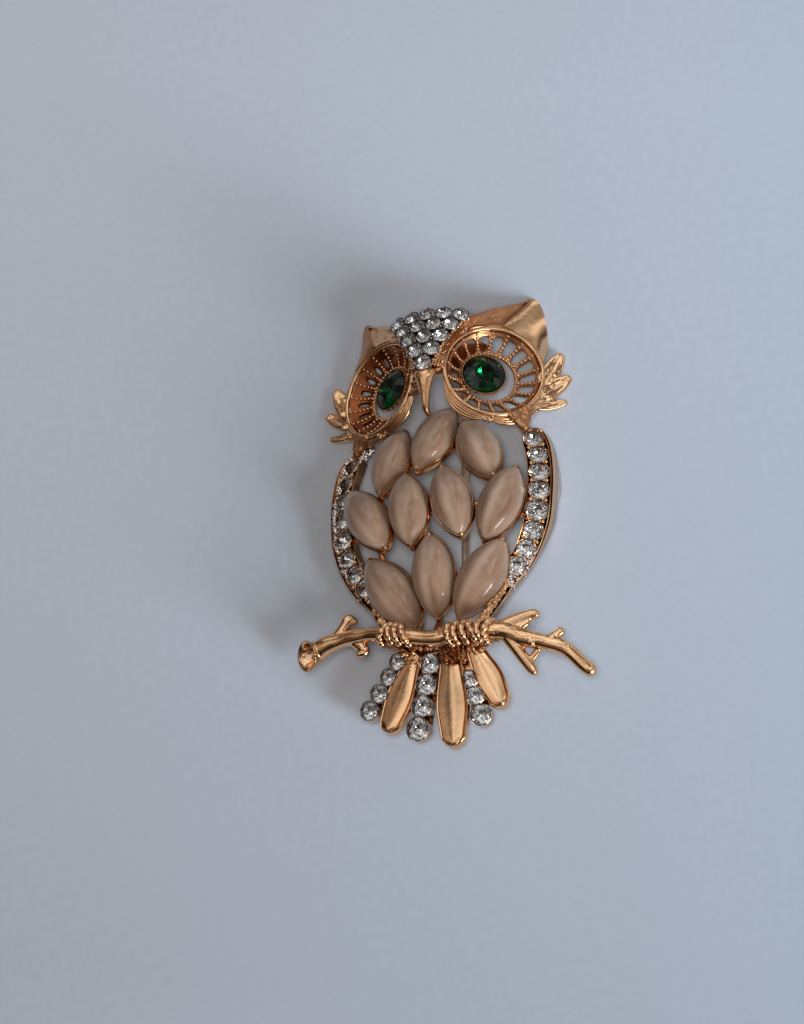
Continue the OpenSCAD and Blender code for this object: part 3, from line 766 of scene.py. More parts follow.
class Bench:
    """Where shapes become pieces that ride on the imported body."""

    def __init__(self, palette: Palette) -> None:
        """Keeps the palette."""
        self.palette = palette

    def piece(self, name: str, shape: Shape, materials: Sequence[bpy.types.Material], slot: Slot,
              nodes: Sequence[str], crease: Crease = Crease.FACET) -> None:
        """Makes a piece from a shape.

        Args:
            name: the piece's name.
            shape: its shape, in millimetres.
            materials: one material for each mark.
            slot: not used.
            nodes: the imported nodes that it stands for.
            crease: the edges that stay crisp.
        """
        mesh = shape.mesh(name)
        mesh.transform(Matrix.Scale(MM, 4) @ Matrix.Translation(Vector((-ORIGIN).tolist())))
        for material in materials:
            mesh.materials.append(material)
        mesh.shade_smooth()
        mesh.set_sharp_from_angle(angle=math.radians(crease.value))
        piece = bpy.data.objects.new(name, mesh)
        bpy.context.scene.collection.objects.link(piece)
        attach(piece, "root")
        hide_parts(*nodes)
        LOG.info("%s: %d faces", name, len(mesh.polygons))

    def body(self, name: str, shape: Shape, crease: Crease = Crease.PLAIN,
             materials: Sequence[bpy.types.Material] | None = None) -> None:
        """Makes a metal piece of the lower casting."""
        self.piece(name, shape, materials or self.palette.metal, Slot.GOLD, ["owl_body"], crease)

    def head(self, name: str, shape: Shape, crease: Crease = Crease.PLAIN,
             materials: Sequence[bpy.types.Material] | None = None) -> None:
        """Makes a metal piece of the upper casting."""
        self.piece(name, shape, materials or self.palette.metal, Slot.GOLD, ["owl_head"], crease)


# ---------------- stones and settings


@dataclass(frozen=True)
class StoneCut:
    """A round cut with a table, stars, kites and girdle facets, over a pavilion with a culet.

    Heights are shares of the diameter, radii are shares of the radius.
    """

    mains: int = 8
    crown: float = 0.17
    girdle: float = 0.05
    pavilion: float = 0.4
    table: float = 0.5
    middle: float = 0.82
    low: float = 0.42
    belly: float = 0.92
    turn: float = 9.0

    def shape(self, diameter: float) -> Shape:
        """Returns a stone with its girdle at z = 0; crown faces have mark 0 and pavilion faces mark 1.

        Args:
            diameter: the stone's diameter.

        Returns:
            The stone.
        """
        n, r = self.mains, diameter / 2
        top, belt = (self.crown + self.girdle) * diameter, self.girdle * diameter
        fall = (self.middle * math.cos(math.pi / n) - self.table) / (1 - self.table)
        deep = -self.pavilion * diameter

        def ring(count: int, radius: float, z: float, shift: float = 0.0) -> list[tuple[float, float, float]]:
            """Returns count points at a radius and height, turned by shift steps."""
            return [(radius * math.cos((k + shift) * 2 * math.pi / count),
                     radius * math.sin((k + shift) * 2 * math.pi / count), z) for k in range(count)]

        points = (ring(n, self.table * r, top, 0.5) + ring(n, self.middle * r, top - self.crown * diameter * fall)
                  + ring(2 * n, r, belt) + ring(2 * n, r, 0)
                  + ring(n, self.low * r, deep * (1 - self.low * self.belly)) + [(0, 0, deep)])
        m, g, b, v, end = n, 2 * n, 4 * n, 6 * n, 7 * n
        crown: Faces = [tuple(range(n))]
        back: Faces = []
        for k in range(n):
            j, h, before = (k + 1) % n, (k - 1) % n, (2 * k - 1) % (2 * n)
            crown += [(h, m + k, k), (k, m + k, g + 2 * k + 1, m + j),
                      (m + k, g + 2 * k, g + 2 * k + 1), (m + k, g + before, g + 2 * k)]
            back += [(v + k, b + 2 * k, b + 2 * k + 1), (v + k, b + before, b + 2 * k),
                     (v + k, b + 2 * k + 1, v + j), (v + k, v + j, end)]
        crown += [(g + k, b + k, b + (k + 1) % (2 * n), g + (k + 1) % (2 * n)) for k in range(2 * n)]
        shape = Shape().add(np.array(points), crown, 0)
        shape.faces += back
        shape.marks += [1] * len(back)
        return shape

    def set_in(self, diameter: float, frame: Array) -> Shape:
        """Returns a stone in its setting's frame."""
        return self.shape(diameter).moved(frame @ Place.turn(0, 0, self.turn))


@dataclass(frozen=True)
class Collet:
    """A round cup for a cut stone, with painted shade on its inside and a rolled rim."""

    wall: float = 0.15
    clear: float = 0.05
    deep: float = 0.9
    sides: int = 30

    def shape(self, diameter: float, waves: int = 0, swell: float = 0.0) -> Shape:
        """Makes the cup round a stone.

        Args:
            diameter: the stone's diameter.
            waves: how many scallops the rim has.
            swell: how deep they are.

        Returns:
            The cup, its stone's girdle at z = 0.
        """
        r, lip, w = diameter / 2 + self.clear, 0.06 * diameter + 0.03, self.wall
        profile = [(r, -0.12), (r, lip * 0.4), (r + 0.03, lip), (r + w * 0.5, lip + 0.03), (r + w * 0.9, lip - 0.03),
                   (r + w, -0.15), (r + w * 0.8, -self.deep), (r * 0.4, -self.deep), (r * 0.4, -self.deep + 0.12)]
        # the inner wall and the floor take the painted shade finish; the rim and the outside are polished
        marks = [Mark.DARK] * 2 + [Mark.POLISHED] * 5 + [Mark.DARK] * 2
        return Forms.turned(profile, self.sides, marks, lambda a: 1 + swell * np.cos(waves * a))


@dataclass(frozen=True)
class Crown:
    """The domed surface that the body's stones lie on."""

    top: float = 6.6
    across: float = 30.0
    along: float = 34.0

    def point(self, x: float, y: float) -> Array:
        """Returns a point of the surface."""
        return np.array([x, y, self.top - x * x / (2 * self.across) - y * y / (2 * self.along)])

    def frame(self, x: float, y: float, lean: float = 0.0) -> Array:
        """Returns the frame of a stone on the surface, leaning by some degrees."""
        tilt = (-math.degrees(math.atan(y / self.along)), math.degrees(math.atan(x / self.across)), 0)
        return Place.move(*self.point(x, y)) @ Place.turn(*tilt) @ Place.turn(0, 0, -lean)


@dataclass(frozen=True)
class CabochonField:
    """Ten pointed cabochons, their settings and the bars that join them.

    A row of stones holds its place across and along in widths and lengths, its lean and its size.
    Bars join pairs of stones, and outer bars join a stone to a row of the wing.
    """

    length: float = 10.0
    width: float = 5.0
    dome: float = 0.92
    foot: float = 0.4
    clear: float = 0.03
    wall: float = 0.13
    blunt: float = 0.22
    ledge: float = 0.8
    ledge_t: float = 0.6
    bar: float = 0.38
    bar_end: float = 1.25
    crown: Crown = Crown()
    stones: Sequence[Row] = (
        (0, 0.915, 25, 0.97), (1.12, 0.705, -24, 0.97), (-1.09, 0.69, 15, 0.93), (-0.6, -0.03, -4, 0.98),
        (0.5, 0.01, -14, 0.98), (1.66, -0.07, 22, 1.03), (-1.72, -0.02, -30, 1.01), (-1.14, -1.02, -28, 1.1),
        (-0.04, -0.9, 0, 1.04), (1.11, -1, 32, 1.11))
    bars: Sequence[tuple[int, int]] = (
        (0, 1), (0, 2), (1, 5), (2, 3), (2, 6), (3, 4), (3, 6), (4, 5), (5, 9), (6, 7), (7, 8), (8, 9))
    outer_bars: Sequence[tuple[int, int]] = ((5, 6), (6, 6), (7, 9), (9, 9))

    def size(self, i: int) -> tuple[float, float]:
        """Returns a stone's length and width."""
        return self.length * self.stones[i][3], self.width * self.stones[i][3]

    def place(self, i: int) -> tuple[float, float]:
        """Returns a stone's place across and along."""
        return self.stones[i][0] * self.width, self.stones[i][1] * self.length

    def half(self, length: float, width: float, y: Array) -> Array:
        """Returns half the width at y of a pointed oval with somewhat blunt tips.

        Args:
            length: the oval's length.
            width: its width.
            y: places along it.

        Returns:
            Half the width at each place.
        """
        r = (length * length / 4 + width * width / 4) / width
        pointed = np.sqrt(np.maximum(r * r - y * y, 0)) - (r - width / 2)
        return (1 - self.blunt) * pointed + self.blunt * width / 2 * np.sqrt(np.maximum(1 - (2 * y / length) ** 2, 0))

    def outline(self, length: float, width: float, count: int = 22) -> Array:
        """Returns the outline of a pointed oval, its tips a little rounded.

        Args:
            length: the oval's length.
            width: its width.
            count: points along each side.

        Returns:
            The outline's points.
        """
        y = -np.cos(np.linspace(0, math.pi, count)) * length / 2
        right = np.stack([np.maximum(self.half(length, width, y), 0) + 0.02, y], -1)
        return np.vstack([right, -right])

    def stone(self, i: int) -> Shape:
        """Returns one cabochon in its own frame: a dome over a flat foot.

        Args:
            i: the stone's number.

        Returns:
            The cabochon.
        """
        length, width = self.size(i)
        rise, round_side, round_top = self.dome * width / 2, 0.86, 0.9
        stations = -np.cos(np.linspace(0.02, math.pi - 0.02, 46)) * length / 2 * 0.995
        turn = np.linspace(0, math.pi, 25)
        rings = []
        for y in stations:
            h = float(self.half(length, width, np.array(y))) + 0.01
            z = rise * (h / (width / 2)) ** round_side
            x = h * np.sign(np.cos(turn)) * np.abs(np.cos(turn)) ** round_side
            up = self.foot + z * np.sin(turn) ** round_top
            low = [(-h * 0.99, 0.25), (-h * 0.93, 0.03), (0, 0.0), (h * 0.93, 0.03), (h * 0.99, 0.25)]
            rings.append(np.array([(a, y, b) for a, b in [*zip(x, up), *low]]))
        seed = np.array([0, i * 11.3, i * 7.1])
        return Forms.skin(rings, local=[r + seed for r in rings])

    def setting(self, i: int) -> Shape:
        """Returns one setting in its stone's frame: a thin wall, a ledge and a claw at each tip.

        Args:
            i: the stone's number.

        Returns:
            The setting.
        """
        length, width = self.size(i)
        inner, outer = self.clear, self.clear + self.wall
        top, ledge = self.foot - 0.1, self.ledge
        profile = [(inner, top - 0.1), (inner + 0.04, top), (outer - 0.06, top), (outer, top - 0.1),
                   (outer, -self.ledge_t), (-ledge, -self.ledge_t), (-ledge, -self.clear), (inner, -self.clear)]
        rings = []
        for offset, z in profile:
            shape = self.outline(length + 2.6 * offset, width + 2 * offset)
            rings.append(np.column_stack([shape, np.full(len(shape), z)]))
        setting = Forms.skin(list(np.stack(rings, 1)), loop=True)
        claw = Path.smooth([(0.34, 0.26), (0.3, 0.2), (0.2, 0.12), (0.1, 0.06)], 3)
        for end in (-1, 1):
            tip = np.array([0, end * (length / 2 + 0.1), self.foot])
            path = [tip + (0, end * out, up) for out, up in ((0.05, -0.7), (0, -0.1), (-0.2, 0.26), (-0.5, 0.44))]
            setting.join(Forms.tube(Path.smooth(path, 3), claw, up=(0, end, 0.3), sides=10))
        return setting

    def under(self, i: int) -> Array:
        """Returns the point under a setting that its bars run from."""
        return self.crown.point(*self.place(i)) - (0, 0, self.ledge_t / 2 + 0.1)

    def tip(self, i: int) -> Array:
        """Returns a setting's lower tip.

        Args:
            i: the stone's number.

        Returns:
            The place.
        """
        half, lean = self.size(i)[0] / 2, math.radians(self.stones[i][2])
        x, y = self.place(i)
        return self.crown.point(x - half * math.sin(lean), y - half * math.cos(lean)) - (0, 0, 0.3)

    def build(self, bench: Bench, wing: WingForm) -> None:
        """Makes the cabochons and their settings.

        Args:
            bench: makes the pieces.
            wing: where the outer bars end.
        """
        metal = Shape()
        for i, (_, _, lean, _) in enumerate(self.stones):
            frame, number = self.crown.frame(*self.place(i), lean), f"cabochon_{i + 1:02d}"
            bench.piece(f"glass_{number}", self.stone(i).moved(frame), bench.palette.cabochon, Slot.CABOCHON,
                        [number], Crease.FORM)
            metal.join(self.setting(i), frame)
        waist = np.array([(0.55, 0.42), (0.45, 0.36), (0.4, 0.32), (0.45, 0.36), (0.55, 0.42)])
        for i, j in self.bars:
            path = Path.between(self.under(i), self.under(j), (0.28, 0.4, 0.5, 0.6, 0.72)) - (0, 0, 0.2)
            metal.join(Forms.tube(path, waist, mark=Mark.ROUGH))
        for i, j in self.outer_bars:
            a, w = self.under(i), wing.point(j)
            b = np.array([math.copysign(w[0] - self.bar_end, a[0]), w[1], w[2] - 0.6])
            metal.join(Forms.tube(Path.between(a, b, (0.35, 0.7, 1)), np.full((3, 2), self.bar), mark=Mark.ROUGH))
        bench.body("cabochon_settings", metal, Crease.SETTING)


# ---------------- wings


@dataclass(frozen=True)
class WingForm:
    """The wing's line, its row of stones and its section.

    A row holds its place across and along in shares of reach and half_length, the shares of the band
    and of the stones' row, and its rise in shares of the branch's height.
    """

    reach: float = 12.7
    half_length: float = 15.0
    stone: float = 2.4
    rim: float = 0.2
    thick: float = 1.1
    band: float = 0.5
    gap: float = 0.16
    branch_height: float = 7.0
    crown: Crown = Crown()
    rows: Sequence[Row] = (
        (0.862, 0.66, 0.3, 0.5, -0.06), (0.905, 0.61, 0.5, 0.85, -0.02), (0.945, 0.53, 0.7, 1, 0),
        (0.98, 0.41, 0.9, 1, 0), (1, 0.239, 1, 1, 0), (1, 0.073, 1, 1, 0), (0.98, -0.137, 1, 1, 0),
        (0.93, -0.305, 0.7, 0.98, 0), (0.855, -0.46, 0.3, 0.95, 0), (0.745, -0.61, 0.18, 0.88, 0.02),
        (0.645, -0.75, 0.15, 0.62, 0.08), (0.57, -0.88, 0.1, 0.5, 0.2), (0.505, -1, 0.08, 0.42, 0.36),
        (0.45, -1.09, 0.06, 0.36, 0.5))
    sizes: Sequence[float] = (0.92, 0.95, 0.98, 1.02, 1.12, 0.98, 0.93, 0.9)
    start: float = 0.112
    cut_share: float = 0.97

    def lifted(self, row: Row) -> Array:
        """Returns a row's place on the crown, with its rise."""
        x, y, _, _, rise = row
        return self.crown.point(x * self.reach, y * self.half_length) + (0, 0, rise * self.branch_height)

    def point(self, i: int) -> Array:
        """Returns the place of row i."""
        return self.lifted(self.rows[i])

    def diameter(self, i: int) -> float:
        """Returns the diameter that stone i is cut to."""
        return self.stone * self.sizes[i] * self.cut_share

    def along(self, s: float) -> Array:
        """Returns the place at a length along the line.

        Args:
            s: the length from the line's start.

        Returns:
            The place across and along.
        """
        line = np.array([(row[0] * self.reach, row[1] * self.half_length) for row in self.rows])
        run = np.concatenate([[0], np.cumsum(np.linalg.norm(np.diff(line, axis=0), axis=1))])
        return np.array([np.interp(s, run, line[:, 0]), np.interp(s, run, line[:, 1])])

    def run(self, k: int) -> float:
        """Returns the length along the line of stone k."""
        return (self.start * self.half_length + k * self.gap
                + self.stone * (sum(self.sizes[:k]) + self.sizes[k] / 2 - self.sizes[0] / 2))

    def stone_place(self, i: float) -> Array:
        """Returns the place of stone i, and halfway between two stones for a half.

        Args:
            i: the stone's number, with a half between two stones.

        Returns:
            The place across and along.
        """
        low, part = int(math.floor(i)), i - math.floor(i)
        if not part:
            return self.along(self.run(low))
        return self.along(self.run(low) * (1 - part) + self.run(min(low + 1, len(self.sizes) - 1)) * part)

    def stone_frame(self, i: float) -> Array:
        """Returns the frame of a stone on its row."""
        return self.crown.frame(*self.stone_place(i)) @ Place.move(0, 0, 0.05)


@dataclass(frozen=True)
class Wing:
    """One wing: its polished band with a painted pale reflection, its channel with painted shade and eight stones, and
    its rough lower end.

    A span of sparkles holds its start and end along the wing, their number and how far in and out they lie.
    """

    side: Side
    form: WingForm = WingForm()
    cut: StoneCut = StoneCut()
    collet: Collet = Collet()
    paper_reflection_sides: range = range(15, 20)
    channel_shade_sides: range = range(4, 9)
    nuggets_from: float = 9 / 14
    top_nuggets: int = 14
    top_beads: int = 70
    spans: dict[Side, Sequence[Row]] = field(default_factory=lambda: {
        Side.RIGHT: [(0.6, 0.77, 420, -1.15, 1.4)],
        Side.LEFT: [(0.0, 0.3, 150, -0.9, 0.9), (0.3, 0.62, 70, 0.9, 1.3), (0.3, 0.62, 30, -1.3, -1.0)]})

    def section(self, p: Array, out: Array, band: float, row: float) -> Array:
        """Returns the wing's section at a point.

        Args:
            p: the point of the row's line.
            out: the direction away from the body.
            band: share of the band.
            row: share of the row's width.

        Returns:
            The section's points.
        """
        form, k = self.form, min(1.0, row)
        lean = math.atan(p[0] / form.crown.across)
        up = np.array([0, 0, 1.0])
        u = out * math.cos(lean) - up * math.sin(lean)
        v = out * math.sin(lean) + up * math.cos(lean)
        r = (form.stone / 2 + form.rim) * row
        stand = form.band * band
        down = -p[2] * band - (1 - band) * form.thick
        floor, tuck = -1.03 * k, band * (1.35 - 1.15 * min(max(p[1] / 5 + 0.5, 0), 1))
        shallow = [(-r, -form.thick), (-r - 0.02, -0.3 * k), (-r, 0.05), (-r + 0.05 * k, 0.1 * k),
                   (-r + 0.09 * k, 0.04 * k), (-r + 0.11 * k, -0.5 * k), (-r + 0.3 * k, floor), (r - 0.3 * k, floor),
                   (r - 0.11 * k, -0.5 * k), (r - 0.09 * k, 0.06 * k), (r - 0.03 * k, 0.14 * k), (r + 0.07, 0.13 * k),
                   (r + 0.15, 0.02 * k), (r + 0.13, -0.3 * k)]
        steep = [(r + 0.15 + 0.16 * stand, -0.42 * k - 0.06 * band), (r + 0.12 + 0.56 * stand, -0.52 * k - 0.3 * band),
                 (r + 0.08 + 0.88 * stand, -0.7 - 0.9 * band), (r + stand + 0.05 - 0.1 * tuck, down * 0.42 - 0.1),
                 (r + stand - 0.5 * tuck, down * 0.72), (r + stand * 0.85 - 0.9 * tuck, down * 0.96),
                 (r + stand * 0.6 - tuck, down), (r - 0.5 * k - tuck * 0.75, down),
                 (r - 0.7 * k - tuck * 0.75, min(down * 0.55, -form.thick - 0.3))]
        ring = np.array([p + u * a + v * b for a, b in shallow] + [p + out * a + up * b for a, b in steep])
        ring[:, 2] = np.maximum(ring[:, 2], 0.02)
        return ring

    def blade(self) -> Shape:
        """Returns the wing's skin from the head to the branch."""
        form = self.form
        fine = Path.smooth(form.rows, 12)
        way = Path.headings(fine[:, :2] * (form.reach, form.half_length))
        rings = []
        for at, (dx, dy) in zip(fine, way):
            band, row = min(max(at[2], 0.02), 1.0), max(at[3], 0.1)
            rings.append(self.section(form.lifted(at), np.array([-dy, dx, 0]), band, row))
        blade, size = Forms.skin(rings), len(rings[0])
        # the band's outer faces take the painted reflection of the pale paper, and the channel's faces take the painted
        # shade
        for k in range((len(rings) - 1) * size):
            if k % size in self.paper_reflection_sides:
                blade.marks[k] = Mark.PAINTED_REFLECTION.value
            elif k % size in self.channel_shade_sides:
                blade.marks[k] = Mark.DARK.value
        return blade

    def trim(self) -> Shape:
        """Returns the collets and the beads between the stones."""
        form, metal, last = self.form, Shape(), len(self.form.sizes) - 1
        for i in range(last + 1):
            metal.join(self.collet.shape(form.diameter(i)), form.stone_frame(i))
        for i in range(-1, last + 1):
            near, far = form.stone_place(max(i, 0)), form.stone_place(min(i + 1, last))
            inside = 0 <= i < last
            way = math.degrees(math.atan2(*(far - near)[::-1])) if inside else -90
            shift = 0.0 if inside else math.copysign(0.52, i) * form.stone
            at = form.stone_frame(min(max(i + 0.5, 0), last)) @ Place.turn(0, 0, way)
            for side, size in ((-1, 0.26), (-0.62, 0.17), (0.62, 0.17), (1, 0.26)):
                metal.join(Forms.ball((shift, side * 0.93, 0.12), size, 10), at)
        return metal

    def rough_end(self) -> Shape:
        """Returns the nuggets at the wing's lower end and at its top."""
        form, lumps, clear = self.form, Shape(), 1.45
        draw = np.random.default_rng(11 + self.side.value)
        fine = Path.smooth(form.rows, 8)
        last = form.stone_place(len(form.sizes) - 1)
        for at in fine[int(len(fine) * self.nuggets_from):]:
            for _ in range(3):
                p = form.lifted(at) + draw.normal(0, 0.42, 3) * (at[3], 0.6, 0.35) + (0, 0, 0.05)
                if np.linalg.norm(p[:2] - last) > clear:
                    lumps.join(Forms.ball(p, 0.2 + 0.24 * draw.random(), mark=Mark.ROUGH))
        for _ in range(self.top_nuggets):
            p = form.point(0) + draw.normal(0, 0.4, 3) * (1, 0.9, 0.3)
            lumps.join(Forms.ball(p, 0.22 + 0.2 * draw.random(), mark=Mark.ROUGH))
        return lumps.fused(0.09, 1, 0.05, 3.2)

    def sparkles(self) -> Shape:
        """Returns small nuggets with painted white glints: along the lower end, and on the left wing along its top too.
        """
        form, beads, clear = self.form, Shape(), 1.12
        draw = np.random.default_rng(71 + self.side.value)
        fine = Path.smooth(form.rows, 8)
        last = [form.stone_place(k) for k in range(len(form.sizes))[-3:]]
        for start, end, count, inside, outside in self.spans[self.side]:
            for _ in range(count):
                at = fine[int(draw.uniform(start, end) * (len(fine) - 1))]
                off = draw.uniform(inside, outside)
                p = form.lifted(at) + (off * (0.3 + 0.7 * at[3]), draw.normal(0, 0.2),
                                       draw.uniform(-0.1, 0.22) - max(off - 0.8, 0))
                if min(np.linalg.norm(p[:2] - stone) for stone in last) > clear:
                    # the nuggets' near-white metal is a painted glint
                    beads.join(Forms.ball(p, 0.16 + 0.15 * draw.random(), 6, Mark.PAINTED_REFLECTION))
        for _ in range(self.top_beads if self.side is Side.LEFT else 0):
            share = draw.random()
            p = form.point(0) + np.array((-1.7, 0.9, 0.25)) * share + draw.normal(0, 0.3, 3) * (1.0, 1.2, 0.5)
            beads.join(Forms.ball(p, 0.17 + 0.14 * draw.random(), 6, Mark.PAINTED_REFLECTION))
        return beads

    def build(self, bench: Bench) -> None:
        """Makes the wing and its stones.

        Args:
            bench: makes the pieces.
        """
        name, form, stones = self.side.name.lower(), self.form, Shape()
        place = Place.MIRROR if self.side is Side.LEFT else np.eye(4)
        bench.body(f"wing_{name}", self.blade().moved(place), Crease.BLADE)
        bench.body(f"wing_trim_{name}", self.trim().moved(place))
        bench.body(f"wing_nuggets_{name}", self.rough_end().moved(place))
        bench.body(f"wing_sparkles_{name}", self.sparkles().moved(place), Crease.NUGGET, bench.palette.painted_glints)
        for i in range(len(form.sizes)):
            stones.join(self.cut.set_in(form.diameter(i), form.stone_frame(i)))
        bench.piece(f"wing_stones_{name}", stones.moved(place), bench.palette.crystal, Slot.CRYSTAL,
                    [f"wing_stone_{name}_{i + 1}" for i in range(len(form.sizes))])


# ---------------- pin


@dataclass(frozen=True)
class PinBack:
    """The pin's hinge block, stem and catch, in one plain piece."""

    stem: float = 1.05
    hinge: float = 3.4
    hinge_z: float = 2.2
    catch: float = 3.0
    catch_z: float = 4.0
    x: float = 2.311
    z: float = 1.1
    hinge_y: float = 21.3
    catch_y: float = -17.97
    seat: float = 0.1
    soft: float = 0.25

    def block(self, width: float, height: float) -> Shape:
        """Returns a square block with soft edges, standing on z = 0.

        Args:
            width: its width both ways.
            height: its height.

        Returns:
            The block.
        """
        soft, rings = self.soft, []
        middle = width / 2 - soft * 1.2
        for z, inset in ((0, soft), (soft * 0.3, soft * 0.3), (soft, 0), (height - soft, 0),
                         (height - soft * 0.3, soft * 0.3), (height, soft)):
            ring = []
            for corner in (0, 90, 180, 270):
                cx, cy = (math.copysign(middle, way) for way in Place.around(corner + 45))
                for t in np.linspace(0, 90, 5):
                    u, v = Place.around(corner + t, soft * 1.2 - inset)
                    ring.append((cx + u, cy + v, z))
            rings.append(np.array(ring))
        return Forms.skin(rings)

    def build(self, bench: Bench) -> None:
        """Makes the pin back.

        Args:
            bench: makes the pieces.
        """
        metal = self.block(self.hinge, self.hinge_z).moved(Place.move(self.x, self.hinge_y, 0))
        metal.join(self.block(self.catch, self.catch_z), Place.move(self.x, self.catch_y, 0))
        line = np.array([(self.x, y, self.z) for y in np.linspace(self.hinge_y - 1, self.catch_y + 1, 12)])
        metal.join(Forms.tube(line, np.full((12, 2), self.stem / 2), sides=20))
        bench.piece("pin", metal, bench.palette.pin, Slot.PIN, ["pin_back"], Crease.PLAIN)


# ---------------- branch, claws, tail


@dataclass(frozen=True)
class Branch:
    """The branch with its twigs, its hollow end, the claws and the owl's short legs.

    Rows hold a place across in shares of half the length, one along in shares of thick, a height in
    shares of height and a radius in shares of thick. The mouth holds depths and shares of the radius.
    """

    length: float = 37.4
    thick: float = 1.9
    line_y: float = -17.4
    height: float = 7.0
    claw: float = 0.95
    rows: Sequence[Row] = (
        (-0.894, 0.22, 0.75, 0.97), (-0.866, 0.4, 0.7, 0.85), (-0.825, 0.57, 0.67, 0.71), (-0.75, 0.8, 0.73, 0.58),
        (-0.63, 0.88, 0.8, 0.47), (-0.46, 0.8, 0.9, 0.43), (-0.25, 0.3, 1, 0.47), (0, -0.35, 1.02, 0.5),
        (0.22, -0.35, 1.02, 0.52), (0.47, -0.45, 0.95, 0.56), (0.6, -1, 0.88, 0.5), (0.76, -1.47, 0.81, 0.47),
        (0.88, -2, 0.76, 0.45), (0.99, -3.15, 0.67, 0.44), (1.026, -3.5, 0.65, 0.4))
    swell: float = 0.08
    mouth_way: Row = (-0.6, -0.3, 0.74)
    mouth: Sequence[Row] = ((1.5, 0.2), (1.2, 0.45), (0.7, 0.62), (0.2, 0.72), (-0.02, 0.82), (-0.12, 0.93))
    twigs: Sequence[Sequence[Row]] = (
        ((-0.71, 0.85, 0.76, 0.36), (-0.63, 1.75, 0.79, 0.34), (-0.6, 2.2, 0.8, 0.34), (-0.57, 2.1, 0.76, 0.26)),
        ((-0.57, 0.7, 0.8, 0.3), (-0.5, 0.1, 0.79, 0.34), (-0.49, -0.2, 0.78, 0.28), (-0.525, -0.3, 0.8, 0.2)),
        ((0.42, -0.3, 0.94, 0.46), (0.55, 0.2, 0.9, 0.38), (0.64, 0.5, 0.87, 0.33), (0.69, 0.55, 0.86, 0.28)),
        ((0.56, -0.35, 0.88, 0.34), (0.62, 0.0, 0.86, 0.26), (0.64, 0.3, 0.86, 0.22)),
        ((0.775, -1.4, 0.81, 0.38), (0.83, -0.95, 0.8, 0.28), (0.85, -0.8, 0.79, 0.28)),
        ((0.5, -0.7, 0.92, 0.42), (0.57, -1.8, 0.83, 0.36), (0.63, -2.75, 0.74, 0.33), (0.655, -3.15, 0.71, 0.26)),
        ((0.625, -2.6, 0.75, 0.22), (0.68, -1.95, 0.76, 0.2), (0.7, -1.65, 0.76, 0.14)))
    burls: Sequence[Row] = ((0.66, -0.4), (0.9, 0.3))
    claws: Sequence[float] = (-0.32, -0.275, -0.228, -0.18, 0.13, 0.18, 0.235, 0.285, 0.335, 0.385)
    legs: Sequence[tuple[int, float]] = ((7, -0.2), (8, 0.02), (9, 0.2))
    sides: int = 22

    def points(self, rows: Array) -> Array:
        """Returns the points of a table's rows."""
        return np.stack([rows[:, 0] * self.length / 2, self.line_y + rows[:, 1] * self.thick,
                         rows[:, 2] * self.height], -1)

    def at(self, share: float) -> tuple[Array, float]:
        """Returns the branch's middle and radius at a share of its half length.

        Args:
            share: the place across, in shares of half the length.

        Returns:
            The middle and the radius.
        """
        table = np.asarray(self.rows)
        row = np.array([[np.interp(share, table[:, 0], column) for column in table.T]])
        return self.points(row)[0], float(row[0, 3]) * self.thick

    def wood(self) -> Shape:
        """Returns the branch and its twigs, cast in one, with a hollow left end."""
        fine = Path.smooth(self.rows, 6)
        path, radius = self.points(fine), fine[:, 3] * self.thick + self.swell
        radius = radius * (1 + 0.04 * np.sin(path[:, 0] * 1.7))
        way = Path.headings(path)
        cut = np.array(self.mouth_way) / np.linalg.norm(self.mouth_way)
        stations = [(path[0] + way[0] * depth, way[0], radius[0] * share) for depth, share in self.mouth]
        stations += list(zip(path, way, radius))
        end, heading, last = stations[-1]
        stations += [(end + heading * last * a, heading, last * b) for a, b in ((0.5, 0.86), (0.86, 0.5), (1.0, 0.12))]
        turn = np.arange(self.sides) * 2 * math.pi / self.sides
        rings = []
        for k, (p, d, r) in enumerate(stations):
            s = np.cross(d, (0, 0, 1))
            s /= np.linalg.norm(s)
            ring = p + r * (np.outer(np.cos(turn), s) + np.outer(np.sin(turn), np.cross(s, d)))
            slant = max(0.0, 1 - max(0, k - len(self.mouth)) / 5)
            rings.append(ring - np.outer((ring - p) @ cut / (d @ cut), d) * slant)
        wood = Forms.skin(rings)
        for rows in self.twigs:
            twig = Path.smooth(rows, 5)
            size = twig[:, 3:4] * self.thick + self.swell
            wood.join(Forms.tube(self.points(twig), np.hstack([size, size]), sides=16))
        for share, drop in self.burls:
            p, r = self.at(share)
            wood.join(Forms.ball(p + (0, drop * r, 0.25 * r), r * 0.9, 14))
        return wood.fused(0.1, 4)

    def grip(self) -> Shape:
        """Returns the claws: beaded loops over the branch."""
        draw, metal = np.random.default_rng(3), Shape()
        turns = np.radians(np.linspace(2, 178, 34))
        for share in self.claws:
            p, r = self.at(share)
            lean, phase = draw.normal(0, 0.22), draw.uniform(0, math.pi)
            sway = 0.14 * np.sin(2 * turns + phase) + lean * np.cos(turns)
            path = p + (r + 0.3 * self.claw) * np.stack([sway, np.cos(turns), np.sin(turns)], -1)
            swell = 0.36 + 0.19 * np.abs(np.sin(turns * 4.5 + phase))
            metal.join(Forms.tube(path, np.stack([swell, swell], -1) * self.claw, up=(1, 0, 0), sides=12))
        return metal

